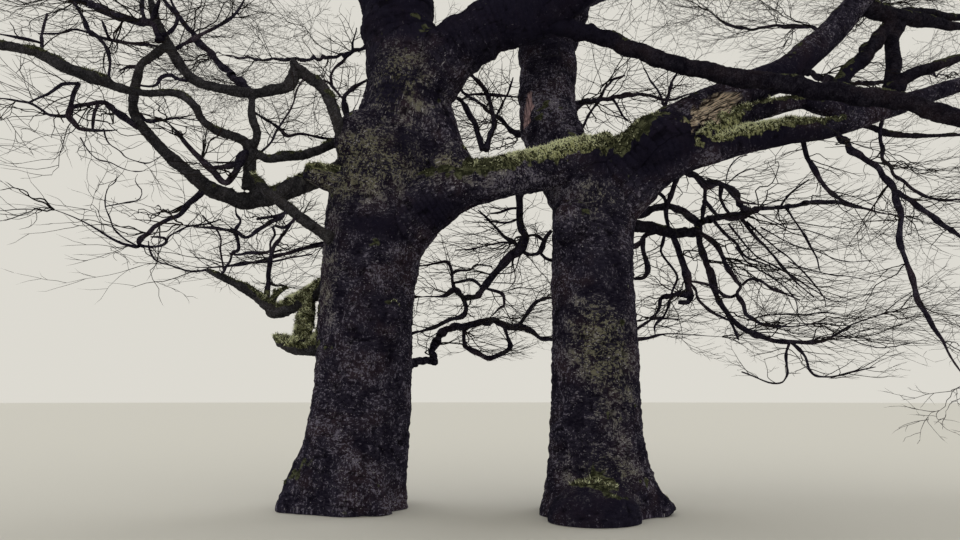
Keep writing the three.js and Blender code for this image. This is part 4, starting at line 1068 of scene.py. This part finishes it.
def sideTwigs(points, radii, plan, random, stouter, drift):    # the next finer twigs on some twigs
    parents, each, steps = len(points), plan["each"], plan["steps"]
    share = 0.12 + 0.86 * (numpy.arange(each) + random.rand(parents, each)) / each
    place = share * (points.shape[1] - 1)
    before = place.astype(int)
    part = (place - before)[..., None]
    rows = numpy.arange(parents)[:, None]
    start = points[rows, before] * (1 - part) + points[rows, before + 1] * part
    heading = unit(points[rows, before + 1] - points[rows, before])
    radius = radii[rows, before] * (1 - part[..., 0]) + radii[rows, before + 1] * part[..., 0]
    whole = numpy.linalg.norm(numpy.diff(points, axis=1), axis=2).sum(axis=1)[:, None]
    whole = numpy.clip(whole, 0, 1.8)    # very long limbs bear twigs as shorter ones do
    length = whole * plan["length"] * (1.25 - 0.75 * share)
    length = length * (0.55 + 0.9 * random.rand(parents, each))
    turn = numpy.arange(each) * goldenTurn + wholeTurn * random.rand(parents, 1) + random.rand(parents, each)
    spread = numpy.radians(plan["spread"]) * (0.7 + 0.6 * random.rand(parents, each))
    direction = unit(branchOff(heading, spread, turn).reshape(-1, 3) * (1, 1, plan["flat"]))
    onward = heading.reshape(-1, 3) * 0.05
    count = parents * each
    corner = start.reshape(-1, 3)
    stride = (length.reshape(-1) / steps)[:, None]
    corners = [corner]
    for _ in range(steps):
        corner = corner + direction * stride * (0.8 + 0.4 * random.rand(count, 1))
        corners.append(corner)
        direction = direction + plan["wander"] * random.randn(count, 3) * (1, 1, 0.7) + (0, 0, plan["lift"])
        direction = unit(direction + onward + drift)
    root = radius.reshape(-1) * plan["thickness"]
    root = numpy.clip(root, plan["thinnest"] * stouter, plan["thickest"] * stouter)
    taper = numpy.linspace(1, plan["taper"], steps + 1)
    family = numpy.repeat(numpy.arange(parents), each)
    return numpy.stack(corners, axis=1), root[:, None] * taper, family


twigBends = {"knots": 6, "knot": 0.045, "shiver": 0.007}


def bentTwigs(paths, random):    # main twigs that wind along
    along = numpy.linspace(0, 1, mainPoints)
    points = numpy.stack([placeAt(path, along) for path in paths])
    radii = numpy.stack([radiusAt(path, along) for path in paths])
    whole = numpy.linalg.norm(points[:, -1] - points[:, 0], axis=1)[:, None, None]
    count = twigBends["knots"]
    nearKnot = smoothStep(1 - numpy.abs(along[:, None] - numpy.linspace(0, 1, count)) * (count - 1), 0, 1)
    pulls = random.randn(len(paths), count, 3)
    winding = numpy.einsum("ak,nkx->nax", nearKnot, pulls) * twigBends["knot"]
    winding += random.randn(*points.shape) * twigBends["shiver"]
    return points + winding * whole * smoothStep(along, 0, 0.2)[:, None], radii


def tubeArrays(points, radii, sides=3):    # closed tapering tubes with a pointed end
    count, corners = points.shape[:2]
    headings = unit(numpy.diff(points, axis=1, append=2 * points[:, -1:] - points[:, -2:-1]))
    headings[:, 1:] = unit(headings[:, 1:] + headings[:, :-1])
    along = numpy.abs(headings[:, :1])
    across = numpy.eye(3)[numpy.argmin(along, axis=2)]
    side = unit(numpy.cross(headings, across))
    over = numpy.cross(headings, side)
    angles = numpy.arange(sides) * 2 * math.pi / sides
    ring = (side[:, :, None] * numpy.cos(angles)[:, None] + over[:, :, None] * numpy.sin(angles)[:, None])
    verts = points[:, :, None] + ring * radii[:, :, None, None]
    verts = verts[:, :-1].reshape(count, -1, 3)
    verts = numpy.concatenate([verts, points[:, -1:]], axis=1)
    faces = []
    for level in range(corners - 2):
        for turn in range(sides):
            ahead = (turn + 1) % sides
            base = level * sides
            faces.append([base + turn, base + ahead, base + ahead + sides, base + turn + sides])
    tip = (corners - 1) * sides
    ends = [[tip - sides + turn, tip - sides + (turn + 1) % sides, tip] for turn in range(sides)]
    ends.append([2, 1, 0])
    offset = numpy.arange(count)[:, None, None] * verts.shape[1]
    quads = (numpy.array(faces).reshape(-1, 4) + offset).reshape(-1, 4)
    corners3 = (numpy.array(ends) + offset).reshape(-1, 3)
    return verts.reshape(-1, 3), quads, corners3, (len(faces), len(ends))


def joinTubes(name, batches, materials):    # one mesh from batches of tubes, coloured by spray
    verts, loops, starts, colours = [], [], [], []
    base, loopBase = 0, 0
    for points, radii, spray in batches:
        made, quads, ends, (quadCount, endCount) = tubeArrays(points, radii)
        verts.append(made)
        for faces, size, repeat in ((quads, 4, quadCount), (ends, 3, endCount)):
            loops.append((faces + base).ravel())
            starts.append(loopBase + numpy.arange(len(faces)) * size)
            loopBase += len(faces) * size
            colours.append(numpy.repeat(spray, repeat))
        base += len(made)
    verts, loops = numpy.concatenate(verts), numpy.concatenate(loops)
    starts, colours = numpy.concatenate(starts), numpy.concatenate(colours)
    mesh = bpy.data.meshes.new(name)
    mesh.vertices.add(len(verts))
    mesh.vertices.foreach_set("co", verts.astype(numpy.float32).ravel())
    mesh.loops.add(len(loops))
    mesh.loops.foreach_set("vertex_index", loops.astype(numpy.int32))
    mesh.polygons.add(len(starts))
    mesh.polygons.foreach_set("loop_start", starts.astype(numpy.int32))
    for material in materials:
        mesh.materials.append(material)
    mesh.polygons.foreach_set("material_index", (colours % len(materials)).astype(numpy.int32))
    mesh.update(calc_edges=True)
    mesh.shade_smooth()
    return mesh


growth = {"tries": 6, "longer": 1.35, "limbPart": 0.8, "tints": 1000}


def growMass(name, number):    # all twigs of one mass, in batches from thick to fine
    count, reach = masses[name][1], masses[name][2] * millimetre
    habit = highPlan if name in topTwigs + crownTwigs else seenPlan
    random = numpy.random.RandomState(500 + number)
    paths = mainTwigs(name, 1000 + 77 * number, count)
    wanted = habit["mainTwigs"] - len(windingLimbs.get(name, [])) // 2
    for again in range(growth["tries"]):    # more of them by the same rule
        if len(paths) < wanted:
            more = mainTwigs(name, 5000 + 131 * number + 17 * again, count, growth["longer"])
            paths += more[:wanted - len(paths)]
    paths += endTwigs(name, random)
    points, radii = bentTwigs(paths, random)
    spray = random.randint(0, growth["tints"], len(points))
    batches = [(points, radii, spray)]
    for path in windingLimbs.get(name, []):    # the drawn limbs bear twigs all along
        parts = max(1, round(makeChain(path, 1)["run"][-1] / growth["limbPart"]))
        along = (numpy.arange(parts)[:, None] + numpy.linspace(0.03, 1, mainPoints)) / parts
        places, thickness = placeAt(path, along.ravel()), radiusAt(path, along.ravel())
        points = numpy.concatenate([points, places.reshape(parts, mainPoints, 3)])
        radii = numpy.concatenate([radii, thickness.reshape(parts, mainPoints)])
    withRoom(points, math.inf)    # they all stay, and take up their air
    stemEnds = placeAt(stemPaths[name], numpy.array([0.3, 1]))
    drift = unit((stemEnds[1] - stemEnds[0]) * (1, 1, 0.25)) * drifting
    for level in finer:
        points, radii, family = sideTwigs(points, radii, level, random, habit["stouter"], drift)
        spray = spray[family] if level is not finer[0] else random.randint(0, growth["tints"], len(points))
        steps = level["steps"]
        tests = numpy.concatenate([points[:, (steps + 1) // 2], points[:, -1]])
        good = fits(name, tests, 1.25 * reach, -0.15).reshape(2, -1).all(axis=0)    # a little overlap
        points, radii, spray = points[good], radii[good], spray[good]
        order = random.permutation(len(points))
        points, radii, spray = points[order], radii[order], spray[order]
        good = withRoom(points, level["room"] * habit["fill"] * fullness.get(name, 1))
        points, radii, spray = points[good], radii[good], spray[good]
        batches.append((points, radii, spray))
    return batches


def plainMaterial(name, colour, roughness=0.85):
    material = bpy.data.materials.new(name)
    material.use_nodes = True
    shader = material.node_tree.nodes["Principled BSDF"]
    shader.inputs["Base Color"].default_value = (*colour, 1)
    shader.inputs["Roughness"].default_value = roughness
    shader.inputs["Specular IOR Level"].default_value = 0.05
    return material


twigColours = [
    plainMaterial("twig dark", (0.012, 0.011, 0.012)),
    plainMaterial("twig brown", (0.020, 0.017, 0.016)),
    plainMaterial("twig grey", (0.026, 0.025, 0.026)),
    plainMaterial("twig russet", (0.022, 0.015, 0.014)),
]
massOrder = list(masses)
twigPieces = {
    "middle_twigs": ["twigs_hanging", "twigs_low_back", "twigs_centre", "twigs_window", "twigs_back_left"],
    "right_low_twigs": ["twigs_right_sweep", "twigs_right_level", "twigs_right_inner",
                        "twigs_right_droop", "twigs_far_right", "twigs_right_fall"],
    "left_high_twigs": ["twigs_elbow_arm", "twigs_elbow_fork", "twigs_upper_left", "twigs_left_side",
                        "twigs_left_reach"],
    "left_low_twigs": ["twigs_left_under", "twigs_left_crook", "twigs_crossing", "twigs_snag"],
    "right_high_twigs": ["twigs_over_long", "twigs_upper_right", "twigs_right_back", "twigs_long_bough",
                         "twigs_mossy_bough"],
    "top_twigs": topTwigs,
    "crown_twigs": crownTwigs,
}
for pieceName, names in twigPieces.items():
    batches = [batch for name in names for batch in growMass(name, massOrder.index(name))]
    mesh = joinTubes(pieceName, batches, twigColours)
    addPiece(pieceName, mesh, names)
    print(pieceName, sum(len(polygon.vertices) - 2 for polygon in mesh.polygons))

# The stems that bear the twigs
stemLook = {"size": 0.4, "height": 0.007, "full": 0.08, "mossFrom": 0.75, "mossDepth": 0.004}
tubes = []
for name in massOrder:
    tubes.append(sweepTube(windingStems[name], 8, 0.05))
    tubes += [sweepTube(path, 6, 0.06) for path in windingLimbs.get(name, [])]
mesh = inOneMesh("twig_stems", tubes)
fineChains = [makeChain(path, 6 if path["spans"] < 9 else 2) for path in stemPaths.values()]
fineChains += [chain for chains in photoChains.values() for chain in chains]
roughen(mesh, fineChains, stemLook)
mesh.shade_smooth()
pieces["twig_stems"] = newObject("twig_stems", mesh)
print("twig stems", len(mesh.polygons))


# Materials

def addNode(tree, kind, inputs, **settings):
    node = tree.nodes.new(kind)
    for key, value in settings.items():
        setattr(node, key, value)
    for key, value in inputs.items():
        if isinstance(value, bpy.types.NodeSocket):
            tree.links.new(value, node.inputs[key])
        else:
            node.inputs[key].default_value = value
    return node


def valueOf(tree, name):
    return addNode(tree, "ShaderNodeAttribute", {}, attribute_name=name).outputs["Fac"]


def noiseOf(tree, place, scale, detail=3.0, roughness=0.6, stretch=(1, 1, 1)):
    mapped = addNode(tree, "ShaderNodeMapping", {"Vector": place, "Scale": stretch}).outputs[0]
    settings = {"Vector": mapped, "Scale": scale, "Detail": detail, "Roughness": roughness}
    return addNode(tree, "ShaderNodeTexNoise", settings).outputs[0]


def between(tree, value, low, high):    # 0 below low, 1 above high
    inputs = {"Value": value, "From Min": low, "From Max": high}
    return addNode(tree, "ShaderNodeMapRange", inputs, interpolation_type="SMOOTHSTEP").outputs[0]


def calculate(tree, operation, first, second):
    return addNode(tree, "ShaderNodeMath", {0: first, 1: second}, operation=operation).outputs[0]


def plus(tree, first, second):
    return calculate(tree, "ADD", first, second)


def times(tree, first, second):
    return calculate(tree, "MULTIPLY", first, second)


def blendColours(tree, share, first, second):
    return addNode(tree, "ShaderNodeMix", {0: share, 6: first, 7: second}, data_type="RGBA").outputs[2]


# How many of each pattern's cells go to a metre of thick bark
barkScales = {"broad": 1.7, "patches": 4.5, "fine": 15, "across": 15, "lengthways": 17, "chips": 27,
              "turned": 2.6, "speckle": 36, "streak": 16}
scarColours = {"torn": [(0.038, 0.027, 0.027, 1), (0.92, 0.77, 0.62, 1)],
               "bare": [(0.10, 0.062, 0.068, 1), (0.56, 0.38, 0.40, 1)]}


def barkMaterial(name, look):
    material = bpy.data.materials.new(name)
    material.use_nodes = True
    tree = material.node_tree
    shader = tree.nodes["Principled BSDF"]
    place = addNode(tree, "ShaderNodeTexCoord", {}).outputs["Object"]
    grain = addNode(tree, "ShaderNodeAttribute", {}, attribute_name="grain").outputs["Vector"]
    size, scale = look["size"], barkScales
    broad = noiseOf(tree, place, scale["broad"])
    patches = noiseOf(tree, place, scale["patches"] / size, 3, 0.6)
    fine = noiseOf(tree, grain, scale["fine"] / size, 5, 0.68, (1, 1, 2.0))
    across = noiseOf(tree, grain, scale["across"] / size, 4, 0.72, (1, 1, 2.6))
    lengthways = noiseOf(tree, grain, scale["lengthways"] / size, 4, 0.72, (2.2, 2.2, 1))
    chips = noiseOf(tree, place, scale["chips"] / size, 3, 0.7)
    tint = between(tree, plus(tree, valueOf(tree, "tint"), times(tree, patches, 0.9)), 0.55, 1.2)
    # The ground colours
    base = plus(tree, times(tree, fine, 0.6), times(tree, patches, 0.4))
    colour = blendColours(tree, between(tree, base, 0.40, 0.62), look["dark"], look["middle"])
    warmShare = times(tree, between(tree, broad, 0.45, 0.7), 0.6)
    colour = blendColours(tree, warmShare, colour, look["warm"])
    # Pale flecks of lichen, some across the limb and some along it
    fleckColour = blendColours(tree, tint, look["fleck"], look["oliveFleck"])
    turned = between(tree, noiseOf(tree, place, scale["turned"] / size), 0.42, 0.58)
    flecks = blendColours(tree, turned, across, lengthways)
    flecks = blendColours(tree, 0.4, flecks, chips)
    plenty = plus(tree, times(tree, tint, 0.04), times(tree, plus(tree, patches, broad), 0.19))
    # fewer pale flecks under the painted shade, more where its strength is negative
    plenty = calculate(tree, "SUBTRACT", plenty, times(tree, valueOf(tree, "shade"), 0.05))
    pale = between(tree, plus(tree, flecks, plenty), 0.722, 0.775)
    colour = blendColours(tree, times(tree, pale, look["fleckShare"]), colour, fleckColour)
    speckle = noiseOf(tree, grain, scale["speckle"] / size, 2, 0.6, (1, 1, 1.8))
    bright = between(tree, plus(tree, speckle, plenty), 0.86, 0.91)
    colour = blendColours(tree, times(tree, bright, look["fleckShare"]), colour, look["speckle"])
    # Painted shade in dark places and in cracks, then moss and scars
    # Painted shade: the shade spots and broad patches darken the colour toward paintedShade
    shade = between(tree, plus(tree, valueOf(tree, "shade"), times(tree, patches, 0.6)), 0.45, 1.1)
    colour = blendColours(tree, times(tree, shade, 0.8), colour, look["paintedShade"])
    # Painted shade in the cracks of the relief
    colour = blendColours(tree, times(tree, valueOf(tree, "crackShade"), 0.75), colour, look["crackShade"])
    mossShade = blendColours(tree, between(tree, fine, 0.4, 0.65), look["mossDark"], look["mossLight"])
    # Painted highlight: pale, lit-looking moss where the moss spots are bright
    mossHighlight = times(tree, valueOf(tree, "mossHighlight"), between(tree, fine, 0.46, 0.6))
    mossShade = blendColours(tree, mossHighlight, mossShade, look["mossHighlightColour"])
    mossEdge = plus(tree, valueOf(tree, "moss"), times(tree, fine, 1.1))
    colour = blendColours(tree, between(tree, mossEdge, 0.85, 1.15), colour, mossShade)
    streak = noiseOf(tree, grain, scale["streak"], 3, 0.6, (3.0, 3.0, 0.4))
    for scar, (low, high) in {"torn": (0.44, 0.58), "bare": (0.38, 0.6)}.items():
        woodColour = blendColours(tree, between(tree, streak, low, high), *scarColours[scar])
        colour = blendColours(tree, valueOf(tree, scar), colour, woodColour)
    tree.links.new(colour, shader.inputs["Base Color"])
    height = plus(tree, fine, times(tree, flecks, 0.6))
    bump = addNode(tree, "ShaderNodeBump", {"Strength": 0.9, "Distance": look["bump"], "Height": height})
    tree.links.new(bump.outputs[0], shader.inputs["Normal"])
    shader.inputs["Roughness"].default_value = 0.95
    shader.inputs["Specular IOR Level"].default_value = 0.02
    return material


barkLook = {
    "size": 1.0, "bump": 0.05, "fleckShare": 0.9,
    "dark": (0.0095, 0.0080, 0.0170, 1), "paintedShade": (0.0120, 0.0105, 0.0230, 1),
    "middle": (0.036, 0.032, 0.052, 1), "warm": (0.050, 0.032, 0.040, 1),
    "fleck": (0.185, 0.170, 0.230, 1), "oliveFleck": (0.200, 0.192, 0.135, 1),
    "speckle": (0.46, 0.44, 0.48, 1), "crackShade": (0.0040, 0.0035, 0.0065, 1),
    "mossDark": (0.020, 0.022, 0.013, 1), "mossLight": (0.105, 0.112, 0.066, 1),
    "mossHighlightColour": (0.42, 0.43, 0.22, 1),
}
limbLook = {**barkLook, "size": 0.5, "bump": 0.02, "fleckShare": 0.25}
bark = barkMaterial("bark", barkLook)
limbBark = barkMaterial("limb bark", limbLook)
leftBark = barkMaterial("left bark", {**limbLook, "dark": (0.0175, 0.0170, 0.0205, 1),
                                      "middle": (0.052, 0.051, 0.056, 1), "warm": (0.052, 0.047, 0.046, 1)})
# Painted shade: a darker copy of the limb bark for the right-hand limbs, which stand backlit against the sky
shadedRightBark = barkMaterial("right bark shaded", {**limbLook, "dark": (0.006, 0.0052, 0.0100, 1),
                                        "middle": (0.020, 0.018, 0.028, 1),
                                        "warm": (0.025, 0.017, 0.021, 1), "fleckShare": 0.12})
for name in ("left_stem", "left_leader", "right_stem", "right_leader", "right_boughs"):
    pieces[name].data.materials.append(bark)
pieces["left_limbs"].data.materials.append(leftBark)
pieces["right_limbs"].data.materials.append(shadedRightBark)
for name in ("crown_boughs", "twig_stems"):
    pieces[name].data.materials.append(limbBark)

# Moss that stands up in short blades on the upper sides
mossLook = {"blades": 22000, "short": 0.022, "long": 0.075, "foot": 0.007}
mossColours = [
    plainMaterial("moss dark", (0.018, 0.018, 0.013)),
    plainMaterial("moss brown", (0.055, 0.050, 0.033)),
    plainMaterial("moss olive", (0.115, 0.118, 0.065)),
    plainMaterial("moss green", (0.30, 0.31, 0.19)),
    # the palest, nearly white colour is a painted highlight
    plainMaterial("moss pale highlight", (0.90, 0.93, 0.62)),
]
random = numpy.random.RandomState(91)
roots, stands, wants = [], [], []
for name in ("left_stem", "right_stem", "right_boughs", "left_limbs"):
    mesh = pieces[name].data
    points, normals = readPoints(mesh)
    moss = numpy.zeros(len(points), numpy.float32)
    mesh.attributes["moss"].data.foreach_get("value", moss)
    want = numpy.maximum(moss - 0.35, 0) * numpy.maximum(normals[:, 2] + 0.35, 0)
    want = numpy.where(points[:, 2] > 0.05, want, 0)
    for spot in mossSpots:
        want = want * numpy.maximum(1 + 3 * spotShare(points, spot), 0)
    roots.append(points)
    stands.append(normals)
    wants.append(want)
roots, stands, wants = numpy.concatenate(roots), numpy.concatenate(stands), numpy.concatenate(wants)
chosen = random.choice(len(roots), mossLook["blades"], p=wants / wants.sum())
start = roots[chosen] - stands[chosen] * 0.01 + random.randn(len(chosen), 3) * 0.006
droop = numpy.maximum(1 - numpy.maximum(stands[chosen][:, 2:], 0) * 1.6, 0) * (0, 0, -0.7)
lean = unit(stands[chosen] * 0.7 + random.randn(len(chosen), 3) * 0.55 + droop)
length = mossLook["short"] + (mossLook["long"] - mossLook["short"]) * random.rand(len(chosen), 1) ** 2
tip = start + lean * length
blades = numpy.stack([start, tip], axis=1)
thickness = numpy.full((len(chosen), 2), mossLook["foot"])
brightness = 0.25 + 2.0 * (softNoise(start, 0.07, 4) - 0.5) + 0.3 * random.randn(len(chosen))
# Painted highlight: in the bright moss spots, blades that face up take the paler colours; the rest of the
# tone varies at random
for spot in mossSpots:
    brightness += spotShare(start, spot) * spot[3] * (0.5 + stands[chosen][:, 2])
tone = numpy.clip(brightness * len(mossColours), 0, len(mossColours) - 1).astype(int)
mesh = joinTubes("moss", [(blades, thickness, tone)], mossColours)
pieces["moss"] = newObject("moss", mesh)
print("moss", len(mesh.polygons))

for name, piece in pieces.items():
    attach(piece, "root")
    if name in twigPieces or name == "twig_stems":
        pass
    elif name == "moss":
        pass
    else:
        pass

# Pale floor, soft light and the camera
floorLook = {"radius": 400, "colour": (0.56, 0.55, 0.51)}
bm = bmesh.new()
bmesh.ops.create_circle(bm, cap_ends=True, segments=96, radius=floorLook["radius"])
mesh = bpy.data.meshes.new("floor")
bm.to_mesh(mesh)
bm.free()
floor = newObject("floor", mesh)
floor.location.z = -0.005
mesh.materials.append(plainMaterial("floor", floorLook["colour"], 1.0))
floor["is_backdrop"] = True

light = {"sky": (0.72, 0.70, 0.64), "skyStrength": 1.0, "lamp": 0.9, "lampAngle": 50,
         "lamps": [(0.8, -0.35, -0.75), (-0.8, -0.45, -0.6)]}
world = bpy.data.worlds.new("studio")
world.use_nodes = True
world.node_tree.nodes["Background"].inputs[0].default_value = (*light["sky"], 1)
world.node_tree.nodes["Background"].inputs[1].default_value = light["skyStrength"]
bpy.context.scene.world = world
for direction in light["lamps"]:
    lampData = bpy.data.lights.new("lamp", "SUN")
    lampData.energy = light["lamp"]
    lampData.angle = math.radians(light["lampAngle"])
    lamp = bpy.data.objects.new("lamp", lampData)
    lamp.rotation_euler = Vector(direction).to_track_quat("-Z", "Y").to_euler()
    bpy.context.scene.collection.objects.link(lamp)
bpy.context.scene.view_settings.view_transform = "Standard"

view = {"place": (1.89, -10.3, 1.5), "tilt": 10.6, "lens": 26}
cameraData = bpy.data.cameras.new("camera")
cameraData.lens = view["lens"]
cameraData.sensor_width = 36
cameraData.clip_end = 2000
camera = bpy.data.objects.new("camera", cameraData)
camera.location = view["place"]
camera.rotation_euler = (math.radians(90 + view["tilt"]), 0, 0)
bpy.context.scene.collection.objects.link(camera)
bpy.context.scene.camera = camera

low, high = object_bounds()
